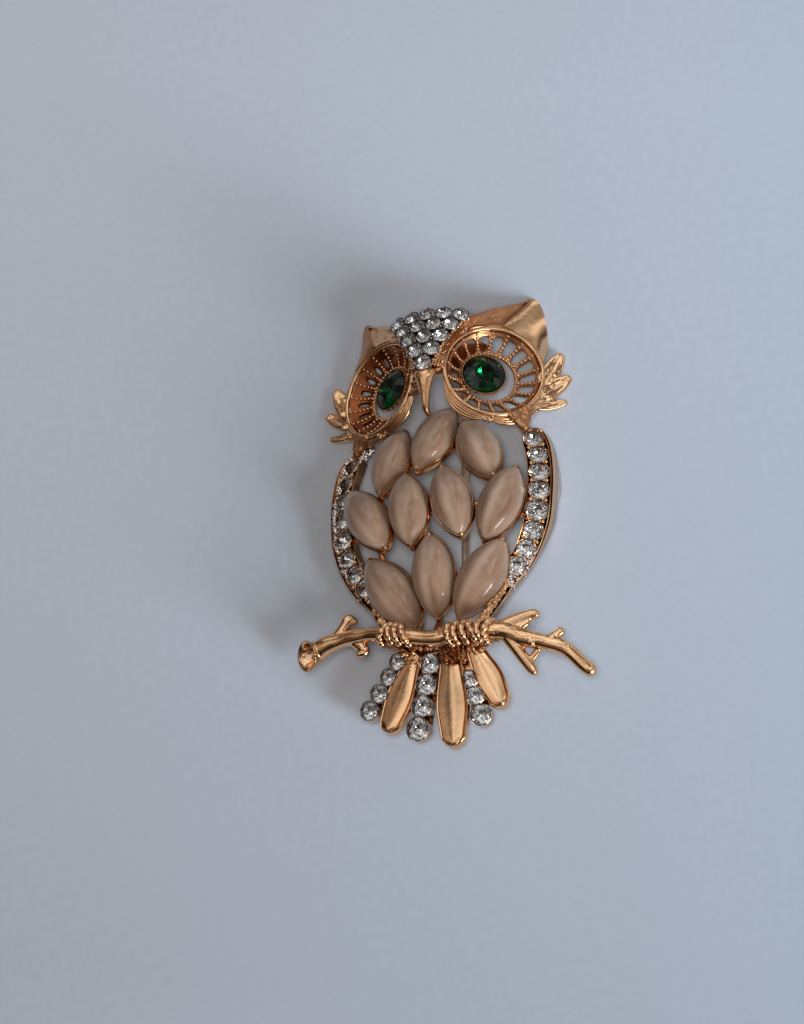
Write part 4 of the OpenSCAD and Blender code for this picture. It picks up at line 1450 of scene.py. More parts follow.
    def knots(self, stones: CabochonField) -> Shape:
        """Returns the rough legs and the knobbly metal beside the claws.

        Args:
            stones: the stones whose settings the legs come down from.

        Returns:
            The cast metal.
        """
        draw, lumps = np.random.default_rng(5), Shape()
        shares = np.linspace(0, 1, 6)
        for i, share in self.legs:
            path = Path.between(stones.tip(i), self.at(share)[0] - (0, 0, 0.2), shares)
            lumps.join(Forms.tube(path, np.stack([0.45 + 0.16 * shares] * 2, -1), sides=10))
        for _ in range(90):
            p, r = self.at(draw.uniform(0.06, 0.46))
            a = draw.uniform(-0.4, 3.3)
            lumps.join(Forms.ball(p + (0, r * 0.95 * math.cos(a), r * 0.9 * math.sin(a)), draw.uniform(0.22, 0.46)))
        for _ in range(80):
            p, r = self.at(draw.uniform(-0.36, 0.4))
            drop = draw.uniform(0.8, 1.7)
            p = p + (0, -r * drop, draw.uniform(-0.9, 0.2) - 0.6 * (drop - 0.8))
            lumps.join(Forms.ball(p, draw.uniform(0.24, 0.46)))
        # painted shade: the knots take the darker copper finish
        return lumps.fused(0.09, 1, 0.05, 3.0, Mark.COPPER_SHADE)

    def mass(self) -> Shape:
        """Returns the knobbly mass below the right claws, over the middle feather's root, in a dark painted-shade
        finish.
        """
        draw, lumps = np.random.default_rng(9), Shape()
        for _ in range(120):
            p, drop = self.at(draw.uniform(0.055, 0.17))[0], draw.uniform(0.75, 3.2)
            p = p + (0.1 * drop, -drop, 0.05 - 0.16 * drop + draw.normal(0, 0.16))
            lumps.join(Forms.ball(p, draw.uniform(0.18, 0.36)))
        return lumps.fused(0.08, 1, 0.05, 3.4, Mark.COPPER_SHADE)

    def build(self, bench: Bench, stones: CabochonField) -> None:
        """Makes the branch, the claws and the legs.

        Args:
            bench: makes the pieces.
            stones: where the legs start.
        """
        # the mass takes the dark amber painted shade
        bench.body("claw_mass", self.mass(), Crease.CAST, bench.palette.amber_shade)
        bench.body("branch", self.wood(), Crease.CAST)
        bench.body("claws", self.grip(), Crease.CAST)
        bench.body("legs_and_knots", self.knots(stones), Crease.CAST)


@dataclass(frozen=True)
class Tail:
    """Six feathers in a fan, three of them set with stones.

    A feather holds its root's and its tip's place in shares of the length, and both half widths in
    shares of the stone. Stones hold a feather's number and the sizes of its stones.
    """

    length: float = 9.8
    stone: float = 2.5
    thick: float = 1.3
    gap: float = 0.16
    cut_share: float = 0.97
    branch: Branch = Branch()
    pin: PinBack = PinBack()
    cut: StoneCut = StoneCut()
    collet: Collet = Collet(deep=1.1)
    feathers: Sequence[Row] = (
        (-0.42, -0.05, -0.92, -0.67, 0.5, 0.56), (-0.26, -0.12, -0.64, -0.85, 0.42, 0.6),
        (-0.04, -0.14, -0.29, -1.01, 0.58, 0.68), (0.2, -0.18, 0.16, -1.12, 0.5, 0.66),
        (0.36, -0.24, 0.53, -0.94, 0.5, 0.58), (0.5, -0.1, 0.75, -0.72, 0.42, 0.58))
    stones: Sequence[tuple[int, Row]] = ((0, (0.76, 0.8, 0.88, 0.9)), (2, (0.94, 1, 1, 1.1)), (4, (0.78, 0.86, 0.98)))

    def place(self, x: float, y: float) -> Array:
        """Returns a place of the tail, falling towards its tips and sides.

        Args:
            x: the place across, in shares of the length.
            y: the place along, likewise.

        Returns:
            The place.
        """
        px = x * self.length
        return np.array([px, self.branch.line_y - 0.5 * self.branch.thick + y * self.length,
                         0.83 * self.branch.height + 0.22 * (y + 0.25) * self.length - 0.01 * px * px])

    def ends(self, f: int) -> tuple[Array, Array]:
        """Returns a feather's root and tip."""
        return self.place(*self.feathers[f][:2]), self.place(*self.feathers[f][2:4])

    def stone_frames(self, f: int, sizes: Row) -> list[Array]:
        """Returns the frames of the stones on a feather.

        Args:
            f: the feather's number.
            sizes: the sizes of its stones.

        Returns:
            One frame for each stone.
        """
        a, b = self.ends(f)
        run = np.linalg.norm(b - a)
        way = (b - a) / run
        spin, dip = math.degrees(math.atan2(way[1], way[0])) + 90, math.degrees(math.asin(-way[2]))
        tilt = Place.turn(0, 0, spin) @ Place.turn(dip, 0, 0)
        frames = []
        for i, size in enumerate(sizes):
            beyond = sum(sizes) - sum(sizes[:i]) - size / 2 - sizes[-1] / 2
            s = run - beyond * self.stone - (len(sizes) - 1 - i) * self.gap
            frames.append(Place.move(*(a + way * s)) @ tilt)
        return frames

    def blade(self, f: int, plain: bool) -> Shape:
        """Makes a feather's plate: full and crested if it is plain, else a thin tray under its stones.

        Args:
            f: the feather's number.
            plain: whether it has no stones.

        Returns:
            The plate.
        """
        a, b = self.ends(f)
        root, tip = self.feathers[f][4] * self.stone, self.feathers[f][5] * self.stone
        wide, lift, thick, rise = 1.22, 0.0, self.thick, 0.3
        if not plain:
            root, tip, wide, lift, thick, rise = root * 0.72, tip * 0.74, 1.0, -1.12, 0.3, 0.05
        run = np.linalg.norm(b - a)
        way = (b - a) / run
        side = np.cross(way, (0, 0, 1))
        side /= np.linalg.norm(side)
        shares = np.linspace(-0.02, 1, 20)
        rows = [(-0.1, root * 0.9), (0.2, root * wide), (0.62, tip * wide), (1, tip), (1.2, tip * 0.8)]
        widths = Path.blend(rows, shares)[:, 0]
        rounded = [(1 + tip * math.sin(t) / run, max(tip * math.cos(t), 0.03))
                   for t in np.linspace(0, math.pi / 2, 9)[1:]]
        rings = []
        for s, w in [*zip(shares, widths), *rounded]:
            k = min(1.0, w / 0.9)
            crest = rise * k
            half = [(0.0, crest), (0.35 * (w - 0.4 * k), crest * 0.93), (0.7 * (w - 0.4 * k), crest * 0.72),
                    (w - 0.42 * k, 0.16 * k), (w - 0.34 * k, -0.02), (w - 0.3 * k, -0.07), (w - 0.24 * k, 0.02),
                    (w - 0.12 * k, 0.07), (w - 0.02 * k, -0.02), (w, -0.12 * thick), (w * 0.97, -thick * 0.7),
                    (w * 0.82, -thick + 0.15 * thick)]
            loop = half + [(-u, z) for u, z in half[:0:-1]]
            rings.append(np.array([a + way * (s * run) + side * u + (0, 0, z + lift) for u, z in loop]))
        return Forms.skin(rings)

    def roots(self) -> Shape:
        """Returns the rough metal between the branch and the feathers."""
        draw, lumps = np.random.default_rng(23), Shape()
        left, right = self.ends(0)[0], self.ends(5)[0]
        for s in np.linspace(0, 1, 9):
            p = left + (right - left) * s
            back = self.branch.at(-0.24 + 0.56 * s)[0] - (0, 0.3, 0.5)
            line = np.array([p + (0, 0.2, -0.75), (p + back) / 2 - (0, 0, 0.7), back])
            lumps.join(Forms.tube(line, np.array([(0.75, 0.6), (0.75, 0.65), (0.6, 0.6)]), sides=10))
        for f in range(len(self.feathers)):
            a, b = self.ends(f)
            far, spread, lift = (0.16, 1, 0.24) if f % 2 else (0.0, 0.5, -0.6)
            for _ in range(26):
                p = (a + (b - a) * draw.uniform(-0.14, far) + draw.normal(0, 0.36, 3) * (1.3, spread, 0.3)
                     + (0, 0, lift))
                lumps.join(Forms.ball(p, draw.uniform(0.16, 0.34)))
        return lumps.fused(0.09, 1, 0.06, 2.8, Mark.ROUGH)

    def build(self, bench: Bench) -> None:
        """Makes the tail and its stones.

        Args:
            bench: makes the pieces.
        """
        plates, cups, set_feathers = Shape(), Shape(), dict(self.stones)
        for f in range(len(self.feathers)):
            plates.join(self.blade(f, f not in set_feathers))
        for f, sizes in self.stones:
            stones = Shape()
            for size, frame in zip(sizes, self.stone_frames(f, sizes)):
                diameter = self.stone * size * self.cut_share
                cups.join(self.collet.shape(diameter, 9, 0.025), frame)
                stones.join(self.cut.set_in(diameter, frame))
            bench.piece(f"tail_stones_{f + 1}", stones, bench.palette.crystal, Slot.CRYSTAL,
                        [f"tail_stone_{f + 1}_{i + 1}" for i in range(len(sizes))])
        bench.body("tail_feathers", plates, Crease.BLADE)
        # the tail's collets take a duller gold with painted shade round the stones
        bench.body("tail_collets", cups, materials=bench.palette.dim_collets)
        bench.body("tail_roots", self.roots(), Crease.CAST)
        boss = Forms.turned([(0.01, 0), (1.2, 0), (1.2, 1.5), (0.9, 1.8), (0.01, 1.8)], 28)
        bench.body("catch_boss", boss.moved(Place.move(self.pin.x, self.pin.catch_y, self.pin.catch_z + self.pin.seat)))


# ---------------- head


@dataclass(frozen=True)
class Brow:
    """The forehead: fifteen stones on an arched plate."""

    stone: float = 1.95
    gap: float = 0.15
    top: float = 10.1
    along: float = 17.0
    across: float = 11.0
    start_y: float = 1.183 * 15
    rows: int = 5
    edge: float = 0.4
    beyond: float = 0.42
    plate_drop: float = 0.78
    prong_share: float = 0.575
    thick: float = 1.1
    cut: StoneCut = StoneCut()
    collet: Collet = Collet(wall=0.085, deep=0.72, clear=0.03)

    @property
    def pitch(self) -> float:
        """Returns the distance between two stones."""
        return self.stone + self.gap

    def angle(self, row: float) -> float:
        """Returns the angle along the arch, in radians."""
        return row * self.pitch * 0.89 / self.along

    def on(self, row: float, c: float, drop: float = 0.0) -> Array:
        """Returns a point of the arch, c stones from the middle line and drop under it.

        Args:
            row: the stones' row, counted from the beak.
            c: stones from the middle line.
            drop: how far under the arch.

        Returns:
            The point.
        """
        a, b = self.angle(row), c * self.pitch / self.across
        h = self.along - self.across + (self.across - drop) * math.cos(b)
        return np.array([(self.across - drop) * math.sin(b), self.start_y + h * math.sin(a),
                         self.top - self.along + h * math.cos(a)])

    def frame(self, row: int, i: int) -> Array:
        """Returns the frame of a stone.

        Args:
            row: the stones' row.
            i: the stone's number in it.

        Returns:
            The frame.
        """
        turn = math.degrees((i - row / 2) * self.pitch / self.across)
        return (Place.move(0, self.start_y, self.top - self.along) @ Place.turn(-math.degrees(self.angle(row)), 0, 0)
                @ Place.move(0, 0, self.along - self.across) @ Place.turn(0, turn, 0) @ Place.move(0, 0, self.across))

    def plate(self) -> Shape:
        """Returns the arched plate under the stones."""
        rings = []
        for row in np.linspace(-self.beyond, self.rows - 1 + self.beyond, 26):
            half = max(row, 0) / 2 + (0.3 if row < 0 else self.edge)
            ring = [self.on(row, c * half, self.plate_drop) for c in np.linspace(-1, 1, 15)]
            ring += [self.on(row, c * half, self.thick) for c in np.linspace(0.92, -0.92, 7)]
            rings.append(np.array(ring))
        return Forms.skin(rings)

    def build(self, bench: Bench) -> None:
        """Makes the forehead and its stones.

        Args:
            bench: makes the pieces.
        """
        metal, stones = Shape(), Shape()
        for row in range(self.rows):
            for i in range(row + 1):
                frame = self.frame(row, i)
                metal.join(self.collet.shape(self.stone), frame)
                stones.join(self.cut.set_in(self.stone, frame))
                for angle in (90, 210, 330):
                    metal.join(Forms.ball((*Place.around(angle, self.prong_share * self.pitch), 0.1), 0.15), frame)
        bench.piece("forehead_stones_set", stones, bench.palette.crystal, Slot.CRYSTAL, ["forehead_stones"])
        bench.head("forehead_collets", metal, materials=bench.palette.grey)
        bench.head("forehead_plate", self.plate())


@dataclass(frozen=True)
class Eye:
    """One eye: wire ring, pierced bowl, green stone, ear, tufts and ridged feathers.

    The ear's rows hold places in ring radii and how far the left ear leans out there. A tuft holds its
    root, its tip and its width in ring radii, a ridge its first and last angle and its width.
    """

    side: Side
    ring: float = 6.4
    wire: float = 0.55
    inner: float = 3.45
    deep: float = 1.75
    spokes: int = 18
    beads: int = 44
    stone: float = 5.1
    inward: float = 1.1
    cut_share: float = 0.985
    sunk: float = 0.55
    turn: float = 29.0
    nod: float = 4.6
    place: Row = (7.4, 1.173 * 15, 5.0)
    ear_thick: float = 0.5
    cut: StoneCut = StoneCut(mains=12, crown=0.12, pavilion=0.34, table=0.5, middle=0.8)
    ear_brow: Sequence[Row] = ((-0.745, 0.9, 0.2, 0), (-0.31, 1.2, 0.1, 0), (0.61, 1.7, -0.16, 0.02),
                               (0.83, 1.8, -0.19, 0.06))
    ear_side: Sequence[Row] = ((0.83, 1.8, -0.19, 0.06), (0.96, 1.62, -0.15, 0.19), (1.04, 1.22, -0.11, 0.31),
                               (1.06, 0.68, -0.13, 0.23))
    ear_fold: Row = (0.21, 1.0, 0.0, 0.0)
    tufts: Sequence[tuple[Row, Row, float]] = (
        ((1.0, -0.12, -0.04), (1.32, 0.47, 0.02), 0.16), ((0.97, -0.4, -0.05), (1.46, -0.05, 0.06), 0.15),
        ((0.85, -0.66, -0.08), (1.4, -0.56, -0.02), 0.1))
    ridges: Sequence[Row] = ((196, 270, 0.8), (254, 342, 0.85))

    @property
    def frame(self) -> Array:
        """Returns the right eye's frame."""
        return Place.move(*self.place) @ Place.turn(-self.nod, self.turn, 0)

    @property
    def hub(self) -> Array:
        """Returns the middle of the inner ring."""
        return np.array([-0.36 * self.inward, 0, -self.deep])

    def on_ring(self, angle: float, r: float = 1.0, z: float = 0.0) -> Array:
        """Returns a point by its angle on the ring, in ring radii."""
        return np.array([*Place.around(angle, r), z]) * self.ring

    def bowl_point(self, angle: Array, s: Array) -> Array:
        """Returns points of the bowl, s from the inner ring (0) to the wire (1).

        Args:
            angle: angles on the ring, in radians.
            s: a share for each angle.

        Returns:
            The points.
        """
        rim = self.ring - self.wire - 0.05
        circle = np.stack([np.cos(angle), np.sin(angle), 0 * angle], -1)
        low, high = self.hub + circle * self.inner, circle * rim + (0, 0, -0.28)
        out = low + (high - low) * s[:, None]
        out[:, 2] += -0.28 * np.sin(math.pi * s)
        return out

    def bowl(self) -> Shape:
        """Returns the pierced sheet of the bowl, with one rounded slot between two spokes, in a copper painted-shade
        finish.
        """
        half = math.pi / self.spokes
        edge = np.array([(-1 + 0.25 * k, 1.0) for k in range(8)] + [(1, 1 - 0.2 * k) for k in range(10)])
        edge = np.vstack([edge, -edge])
        lean = np.arctan2(edge[:, 1], edge[:, 0])
        thick, power = 0.2, 0.72
        wide, high = (0.3, 0.42) if self.side is Side.LEFT else (0.74, 0.7)
        slot = np.stack([wide * np.sign(np.cos(lean)) * np.abs(np.cos(lean)) ** power,
                         -0.04 + high * np.sign(np.sin(lean)) * np.abs(np.sin(lean)) ** power], -1)
        slot[:, 0] *= 1 + 0.22 * slot[:, 1]
        shape = Shape()
        for k in range(self.spokes):
            centre = 2 * half * (k + 1)
            tops, lows = [], []
            for share, t in ((0, 1), (0.45, 1), (0.8, 1.15), (0.95, 0.9), (1, 0.4)):
                uv = edge * (1 - share) + slot * share
                angle = centre + uv[:, 0] * half
                p = self.bowl_point(angle, (uv[:, 1] + 1) / 2)
                normal = np.stack([-0.45 * np.cos(angle), -0.45 * np.sin(angle), np.full(len(uv), 0.89)], -1)
                tops.append(p + normal * thick * t)
                lows.append(p - normal * thick * t)
            rings = tops + lows[::-1]
            n = len(edge)
            last = (len(rings) - 1) * n
            faces = [(a + j, a + (j + 1) % n, a + n + (j + 1) % n, a + n + j)
                     for a in range(0, last, n) for j in range(n)]
            for j in range(n):
                h = (j + 1) % n
                if abs(edge[j, 1]) == 1 and edge[j, 1] == edge[h, 1]:
                    faces.append((j, last + j, last + h, h))
            # painted shade: the bowl takes the darker copper finish, standing in for the shade and warm interreflection
            # inside the bowl
            shape.add(np.vstack(rings), faces, Mark.COPPER_SHADE)
        return shape

    def wires(self) -> Shape:
        """Returns the wire ring with its flange, the beaded inner ring and the beaded spokes."""
        rim, w = self.ring - self.wire / 2, self.wire / 2
        profile = [(rim + u, v) for u, v in (Place.around(a, w) for a in np.linspace(-30, 210, 12))]
        profile += [(rim - w - 0.12, -0.32), (rim - 0.62, -0.55), (rim - 0.3, -0.72), (rim - 0.05, -0.5)]
        metal = Forms.turned(profile, 96)
        wire = [(self.inner + u, v) for u, v in (Place.around(a, 0.2) for a in range(0, 360, 45))]
        metal.join(Forms.turned(wire, 60), Place.move(*self.hub))
        for k in range(self.beads):
            metal.join(Forms.ball(self.hub + (*Place.around(360 * k / self.beads, self.inner), 0.16), 0.22))
        shares, sizes = np.array([0.1, 0.27, 0.44, 0.61, 0.78, 0.94]), (0.22, 0.23, 0.22, 0.23, 0.22, 0.2)
        for k in range(self.spokes):
            line = self.bowl_point(np.full(len(shares), 2 * math.pi * (k + 0.5) / self.spokes), shares)
            for p, size in zip(line, sizes):
                metal.join(Forms.ball(p + (0, 0, 0.22), size))
        return metal

    def cup(self) -> Shape:
        """Returns the cup under the green stone and its ties to the inner ring."""
        r, girdle = self.stone / 2 + 0.05, -self.sunk * self.deep
        profile = [(r, girdle + 0.02), (r + 0.05, girdle + 0.16), (r + 0.16, girdle + 0.16), (r + 0.22, girdle - 0.1),
                   (1.1, girdle - 1.75), (0.01, girdle - 1.8), (0.01, girdle - 1.6), (r - 0.2, girdle - 0.4)]
        # the cup's inside takes the painted shade finish
        marks = [Mark.POLISHED] * 5 + [Mark.DARK] * 3
        metal = Forms.turned(profile, 48, marks).moved(Place.move(-self.inward, 0, 0))
        for angle in (150, 168, 192, 210):
            out = np.array([*Place.around(angle, self.inner), 0])
            tie = Path.between(self.hub + out, 0.66 * out + (-self.inward, 0, 0.2 - self.deep), (0, 0.5, 1))
            metal.join(Forms.tube(tie, np.full((3, 2), 0.36), sides=10))
        return metal

    def curve(self, rows: Sequence[Row], shares: Row, count: int) -> Array:
        """Returns a smooth curve of the ear through rows of ring radii, at even shares.

        Args:
            rows: rows of ring radii.
            shares: where each row lies along the curve.
            count: how many points it has.

        Returns:
            The points.
        """
        left = 1.0 if self.side is Side.LEFT else 0.0
        points = np.array([(x - left * out, y, z) for x, y, z, out in rows]) * self.ring
        return Path.blend(np.column_stack([shares, points]), np.linspace(0, 1, count))

    def ear(self) -> Shape:
        """Returns the ear: a hollowed brow panel and a smooth side panel that meet in a crisp fold."""
        count, across = 28, np.linspace(0, 1, 12)
        fold, tip = self.ear_fold, self.ear_brow[-1]
        bow = np.sin(across * math.pi)

        def row(angle: float) -> Row:
            """Returns a row of ring radii at an angle on the ring."""
            return (*Place.around(angle, 0.985), 0.01, 0)

        top = self.curve(self.ear_brow, (0, 0.3, 0.86, 1), count)
        low = np.vstack([self.curve([row(136), row(118), row(98), fold], (0, 0.35, 0.75, 1), 16)[:-1],
                         self.curve([fold, tip], (0, 1), count - 15)])
        brow = Path.between(top, low, across)
        brow[:, :, 2] -= 0.55 * np.outer(bow, np.sin(np.linspace(0.2, 0.92, count) * math.pi))
        dents = Forms.grain(brow.reshape(-1, 3), 0.85, 4.0).reshape(brow.shape[:2])
        brow[:, :, 2] += 0.2 * dents * bow[:, None]
        # painted shade: the right ear's hollowed brow panel takes the darker copper finish
        metal = Forms.sheet(brow, self.ear_thick, Mark.COPPER_SHADE if self.side is Side.RIGHT else Mark.ROUGH)
        outer = self.curve(self.ear_side, (0, 0.22, 0.6, 1), count)
        inner = np.vstack([self.curve([tip, fold], (0, 1), 12)[:-1],
                           self.curve([fold, row(64), row(42), row(16)], (0, 0.35, 0.7, 1), count - 11)])
        side = Path.between(inner, outer, across)
        bulge = 0.07 if self.side is Side.RIGHT else 0.22
        side[:, :, 2] += bulge * np.outer(bow, np.sin(np.linspace(0, 1, count) * math.pi))
        # painted shade: the left ear's side panel, facing the dark side of the room, takes the darker copper finish
        metal.join(Forms.sheet(side, self.ear_thick, Mark.COPPER_SHADE if self.side is Side.LEFT else Mark.POLISHED))
        return metal

    def leaves(self) -> Shape:
        """Returns the three tufts beside the eye."""
        metal = Shape()
        for root, tip, width in self.tufts:
            a, b = np.array(root) * self.ring, np.array(tip) * self.ring
            lift = (0, 0, -0.04 * self.ring)
            rows = [(*a, 1.1, 1.1), (*(a + (b - a) * 0.35 + lift), 1.2, 1.1), (*(a + (b - a) * 0.7 + lift), 1.0, 0.9),
                    (*(b - (b - a) * 0.06), 0.62, 0.7)]
            fine = Path.smooth(rows, 8)
            sizes = np.stack([fine[:, 3] * width, 0.055 * fine[:, 4] + 0.016], -1) * self.ring
            level = (-0.6, 0.25, 0.75) if self.side is Side.LEFT else (0, 0, 1)
            leaf = Forms.tube(fine[:, :3], sizes, up=level, sides=20)
            points = leaf.points[0]
            way = (b - a) / np.linalg.norm(b - a)
            off = points - fine[:, :3].mean(axis=0)
            off -= np.outer(off @ way, way)
            across = np.cross(way, (0, 0, 1))
            share = off @ (across / np.linalg.norm(across)) / (width * self.ring)
            points[:, 2] += 0.16 * share ** 2 - 0.12 * np.exp(-(share / 0.14) ** 2)
            metal.join(leaf)
        band = np.array([self.on_ring(angle, 1.02, -0.07) for angle in np.linspace(-44, 4, 14)])
        metal.join(Forms.tube(band, np.full((14, 2), (0.62, 0.4)), sides=12))
        return metal.fused(0.08, 2, 0.03, 1.6)

    def ridge(self) -> Shape:
        """Returns the polished ridges under the eye, a low rod of painted shade between them and the knot where they
        meet.
        """
        # dark: the copper painted-shade finish for the low rod between the polished ridges
        metal, bright, dark = Shape(), (0.12, 0.15, Mark.POLISHED), Mark.COPPER_SHADE
        slim = np.sin(np.linspace(0.03, 0.97, 40) * math.pi) ** 0.7
        for first, last, wide in self.ridges:
            rods = ((1.0, -0.035, *bright), (1.062, -0.03, *bright), (1.124, -0.045, *bright), (1.18, -0.07, *bright),
                    (1.09, -0.085, 0.66 * wide, 0.12, dark))
            for k, (r, z, across, high, mark) in enumerate(rods):
                angles = np.linspace(first + 2.5 * k, last - 2.5 * k, 40)
                path = np.array([self.on_ring(a, 1 + (r - 1) * s * wide, z * (0.5 + 0.5 * s))
                                 for a, s in zip(angles, slim)])
                sizes = np.stack([0.05 + across * slim, 0.05 + high * slim], -1)
                metal.join(Forms.tube(path, sizes, sides=12, mark=mark))
        draw = np.random.default_rng(31)
        for _ in range(20):
            p = self.on_ring(draw.uniform(257, 268), draw.uniform(1.0, 1.1), draw.uniform(-0.12, 0.0))
            metal.join(Forms.ball(p, draw.uniform(0.16, 0.3)))
        return metal

    def build(self, bench: Bench) -> None:
        """Makes the eye's pieces.

        Args:
            bench: makes the pieces.
        """
        name, left = self.side.name.lower(), self.side is Side.LEFT
        place = Place.MIRROR @ self.frame if left else self.frame
        # the left bowl takes the still darker amber painted shade
        bench.head(f"eye_bowl_{name}", self.bowl().moved(place), Crease.FORM, bench.palette.amber_shade if left else None)
        bench.head(f"eye_wires_{name}", self.wires().moved(place), Crease.FORM)
        bench.head(f"eye_cup_{name}", self.cup().moved(place))
        for kind, shape in (("ear", self.ear()), ("tufts", self.leaves()), ("ridges", self.ridge())):
            bench.head(f"{kind}_{name}", shape.moved(place), Crease.FORM)
        stone = self.cut.set_in(self.stone * self.cut_share, Place.move(-self.inward, 0, -self.sunk * self.deep))
        bench.piece(f"green_stone_{name}", stone.moved(place), bench.palette.green, Slot.GREEN, [f"eye_stone_{name}"])


@dataclass(frozen=True)
class Face:
    """What joins the eyes: the granulated brow walls, the beak, the legs and the plate behind."""

    beak_length: float = 5.0
    beak_width: float = 2.0
    neck: Row = (10.922, 9.975, 0.3)
    plate_end: float = 1.8
    pin: PinBack = PinBack()
    brow: Brow = Brow()
    eye: Eye = Eye(Side.RIGHT)
    wall_angles: Row = (180, 160, 146, 134, 124)

    def wall(self) -> Shape:
        """Returns the slope from the forehead down to the right ring."""
        grid = []
        ring_side = Path.blend([(k / 4, a) for k, a in enumerate(self.wall_angles)], np.linspace(0, 1, 14))[:, 0]
        for k, angle in zip(np.linspace(0, 4, 14), ring_side):
            high = self.brow.on(k, k / 2 + 0.42, 0.45)
            low = Place.apply(self.eye.frame, self.eye.on_ring(angle, 0.985, 0.0))
            grid.append(Path.between(high, low, np.linspace(0, 1, 7)))
        # painted shade: the slope takes the darker copper finish
        return Forms.sheet(np.array(grid), 0.7, Mark.COPPER_SHADE)

    def granules(self) -> Shape:
        """Returns the small beads along the wall and the ring's upper inside."""
        draw, metal = np.random.default_rng(47), Shape()
        for k in np.linspace(-0.1, 4, 30):
            angle = float(np.interp(k, range(5), self.wall_angles))
            high = self.brow.on(k, max(k, 0) / 2 + 0.5, 0.3)
            low = Place.apply(self.eye.frame, self.eye.on_ring(angle, 0.98, 0.04))
            run = np.linalg.norm(low - high)
            for s in np.arange(0.1, 0.95, 0.42 / max(run, 0.6)):
                p = high + (low - high) * s + draw.normal(0, 0.06, 3) + (0, 0, 0.22)
                metal.join(Forms.ball(p, draw.uniform(0.13, 0.24)))
        return metal

    def beak(self) -> Shape:
        """Returns the beak with its arms to both rings."""
        w = self.beak_width / 2
        root = np.array([0, self.brow.start_y - self.brow.stone * 0.7, self.brow.top - 0.5])
        tip = root + (-0.3 * w, -self.beak_length * 0.9, -0.3 * self.beak_length)
        way = tip - root
        rows = [(*(root + (0, 0.7, -0.85)), w * 1.3, w * 0.5), (*(root - (0, 0, 0.15)), w * 1.35, w * 0.8),
                (*(root + way * 0.2), w, w * 0.85), (*(root + way * 0.5), w * 0.66, w * 0.75),
                (*(root + way * 0.85), w * 0.46, w * 0.6), (*(tip + (0.15, 0, -0.45)), w * 0.34, w * 0.34)]
        fine = Path.smooth(rows, 7)
        metal = Forms.tube(fine[:, :3], fine[:, 3:], sides=18)
        arms = {-1: ((170, 0.6), (182, 0.5), (194, 0.46), (206, 0.42)), 1: ((165, 0.55), (176, 0.5))}
        for side, ends in arms.items():
            for angle, size in ends:
                end = Place.apply(self.eye.frame, self.eye.on_ring(angle, 0.985, -0.03)) * (side, 1, 1)
                start = root - (0, 0, 0.2) + way * 0.3 * max(0.0, (angle - 182) / 24)
                line = Path.smooth([start, (start + end) / 2 - (0, 0, 0.15), end], 4)
                metal.join(Forms.tube(line, np.full((len(line), 2), size), sides=12))
        cast = metal.fused(0.08, 4)
        # painted shade: the faces at the hooked tip take the darker copper finish
        low = np.array([cast.points[0][list(face), 1].max() for face in cast.faces]) < tip[1] + 0.55
        cast.marks = [Mark.COPPER_SHADE.value if dark else Mark.ROUGH.value for dark in low]
        return cast

    def legs(self) -> Shape:
        """Returns the two rough legs that seat the head on the wings."""
        lumps, (x, y, rise) = Shape(), self.neck
        foot = Crown().point(x, y) + (0, 0, rise + 0.2)
        for side in (-1, 1):
            for angle in (312, 307, 302, 297, 292, 287):
                a = Place.apply(self.eye.frame, self.eye.on_ring(angle, 0.985, 0.0)) * (side, 1, 1)
                b = foot * (side, 1, 1)
                line = Path.smooth([a, (a + b) / 2 - (0, 0, 0.12), b], 4)
                lumps.join(Forms.tube(line, np.linspace((0.46, 0.42), (0.5, 0.42), len(line)), sides=10))
        # painted shade: the legs, low between the head and the wings, take the darker copper finish
        return lumps.fused(0.09, 1, 0.09, 2.2, Mark.COPPER_SHADE)

    def back_plate(self) -> Shape:
        """Returns the plate behind the forehead."""
        x, low = 0.62 * self.eye.place[0], self.pin.hinge_z + self.pin.seat
        ends = [(s, *Place.around(a + turn, self.plate_end)) for s, turn in ((1, 0), (-1, 180))
                for a in np.linspace(-90, 90, 15)]
        rings = []
        for z, shrink in ((0.0, 0.14), (0.12, 0.0), (0.78, 0.0), (0.9, 0.14)):
            k = 1 - shrink / self.plate_end
            rings.append(np.array([(x * s + u * k, self.pin.hinge_y + v * k, low + z) for s, u, v in ends]))
        return Forms.skin(rings)

    def build(self, bench: Bench) -> None:
        """Makes the face's pieces.

        Args:
            bench: makes the pieces.
        """
        wall = self.wall().join(self.granules())
        bench.head("brow_walls", Shape().join(wall).join(wall, Place.MIRROR), Crease.FORM)
        bench.head("beak", self.beak(), Crease.CAST)
        bench.head("head_legs", self.legs(), Crease.CAST)
        bench.head("back_plate", self.back_plate())


# ---------------- studio


@dataclass(frozen=True)
class Lamp:
    """A soft light: the way to it from the brooch, its distance and size in metres and its power in watts."""

    name: str
    way: Row
    distance: float
    size: tuple[float, float]
    power: float
    colour: Row
    mirrored: bool = True
    seen_through: bool = True

    def hang(self) -> None:
        """Hangs the light, facing the brooch."""
        data = bpy.data.lights.new(self.name, "AREA")
        data.shape, data.size, data.size_y = "RECTANGLE", *self.size
        data.energy, data.color = self.power, self.colour
        lamp = bpy.data.objects.new(self.name, data)
        direction = Vector(self.way).normalized()
        lamp.location = direction * self.distance
        lamp.rotation_euler = direction.to_track_quat("Z", "Y").to_euler()
        lamp.visible_glossy, lamp.visible_transmission = self.mirrored, self.seen_through
        bpy.context.scene.collection.objects.link(lamp)


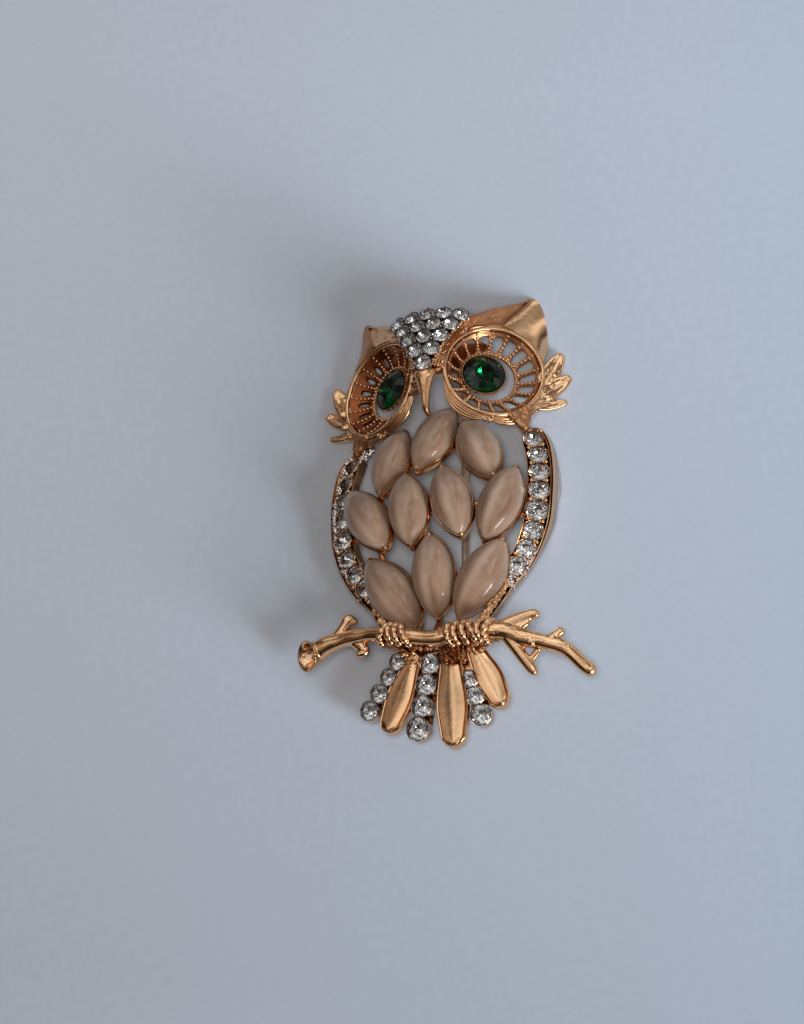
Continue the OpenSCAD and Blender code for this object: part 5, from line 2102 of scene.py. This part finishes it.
@dataclass(frozen=True)
class Studio:
    """The paper, the light and the camera."""

    toward: Row = (0.308, -0.432, 0.847)
    across: Row = (0.9394, 0.0, -0.3416)
    aim: Row = (-5.97, 1.83)
    distance: float = 900.0
    lens: float = 259.3
    lamps: Sequence[Lamp] = (
        Lamp("window", (0.7, -0.63, 0.33), 0.9, (0.2, 0.42), 8.6, (0.86, 1.0, 1.14), mirrored=False),
        Lamp("fill", (0.27, -0.4, 0.87), 0.9, (0.2, 0.2), 3.25, (1.0, 0.9, 0.82), mirrored=False, seen_through=False),
        Lamp("strip", (0.66, -0.74, 0.17), 0.85, (0.46, 0.14), 2.6, (1.0, 0.99, 0.97)))
    sky_toward: Row = (0.42, 0.33, 0.85)
    sky: float = 1.42
    sky_on_matt: float = 0.04
    beyond_paper: Row = (0.42, 0.46, 0.52)

    def camera(self) -> None:
        """Places the camera at the photograph's angle."""
        c = np.array(self.toward) / np.linalg.norm(self.toward)
        r = np.array(self.across) / np.linalg.norm(self.across)
        u = np.cross(c, r)
        target = self.aim[0] * r + self.aim[1] * u - ORIGIN
        spot = (target + c * self.distance) * MM
        data = bpy.data.cameras.new("camera")
        data.lens, data.sensor_width, data.clip_start, data.clip_end = self.lens, 36.0, 0.01, 50.0
        camera = bpy.data.objects.new("camera", data)
        matrix = np.eye(4)
        matrix[:3, 0], matrix[:3, 1], matrix[:3, 2], matrix[:3, 3] = r, u, c, spot
        camera.matrix_world = Matrix(matrix.tolist())
        bpy.context.scene.collection.objects.link(camera)
        bpy.context.scene.camera = camera

    def room(self) -> None:
        """Makes the room that the metal and the stones mirror: pale above, darker and warmer low down."""
        world = bpy.data.worlds.new("room")
        tree = Tree(world)
        place, seen = tree.add("TexCoord")["Generated"], tree.add("LightPath")
        height = tree.ramp(tree.along(place, Vector(self.sky_toward).normalized()),
                           (0.0, (0.04, 0.028, 0.022)), (0.3, (0.11, 0.085, 0.07)), (0.55, (0.27, 0.25, 0.24)),
                           (0.75, (0.50, 0.51, 0.53)), (1.0, (0.66, 0.68, 0.71)))
        patches = tree.ramp(tree.noise(place, 3.2, 1.0),
                            (0.41, (0.17, 0.14, 0.12)), (0.5, (0.82, 0.82, 0.82)), (0.62, (1.9, 1.9, 1.9)))
        mirrored = tree.mix(1.0, height, patches, "MULTIPLY")
        strength = {"Value": seen["Is Diffuse Ray"], "To Min": self.sky, "To Max": self.sky_on_matt}
        tree.feed(tree.nodes["Background"], {"Color": tree.mix(seen["Is Camera Ray"], mirrored, self.beyond_paper),
                                             "Strength": tree.add("MapRange", strength)["Result"]})
        bpy.context.scene.world = world

    def floor(self) -> None:
        """Lays the paper."""
        mesh = bpy.data.meshes.new("paper")
        mesh.from_pydata([(-3, -3, 0), (3, -3, 0), (3, 3, 0), (-3, 3, 0)], [], [(0, 1, 2, 3)])
        mesh.materials.append(Paper("paper").material())
        paper = bpy.data.objects.new("paper", mesh)
        bpy.context.scene.collection.objects.link(paper)

    def build(self) -> None:
        """Sets up the studio."""
        self.camera()
        self.floor()
        self.room()
        for lamp in self.lamps:
            lamp.hang()
        bpy.context.scene.view_settings.view_transform = "Standard"


def main() -> None:
    """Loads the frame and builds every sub-assembly around it."""
    logging.basicConfig(level=logging.INFO, format="%(message)s")
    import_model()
    bench = Bench(Palette())
    stones = CabochonField()
    stones.build(bench, WingForm())
    for side in Side:
        Wing(side).build(bench)
        Eye(side).build(bench)
    Branch().build(bench, stones)
    Tail().build(bench)
    Brow().build(bench)
    Face().build(bench)
    PinBack().build(bench)
    Studio().build()


if __name__ == "__main__":
    main()
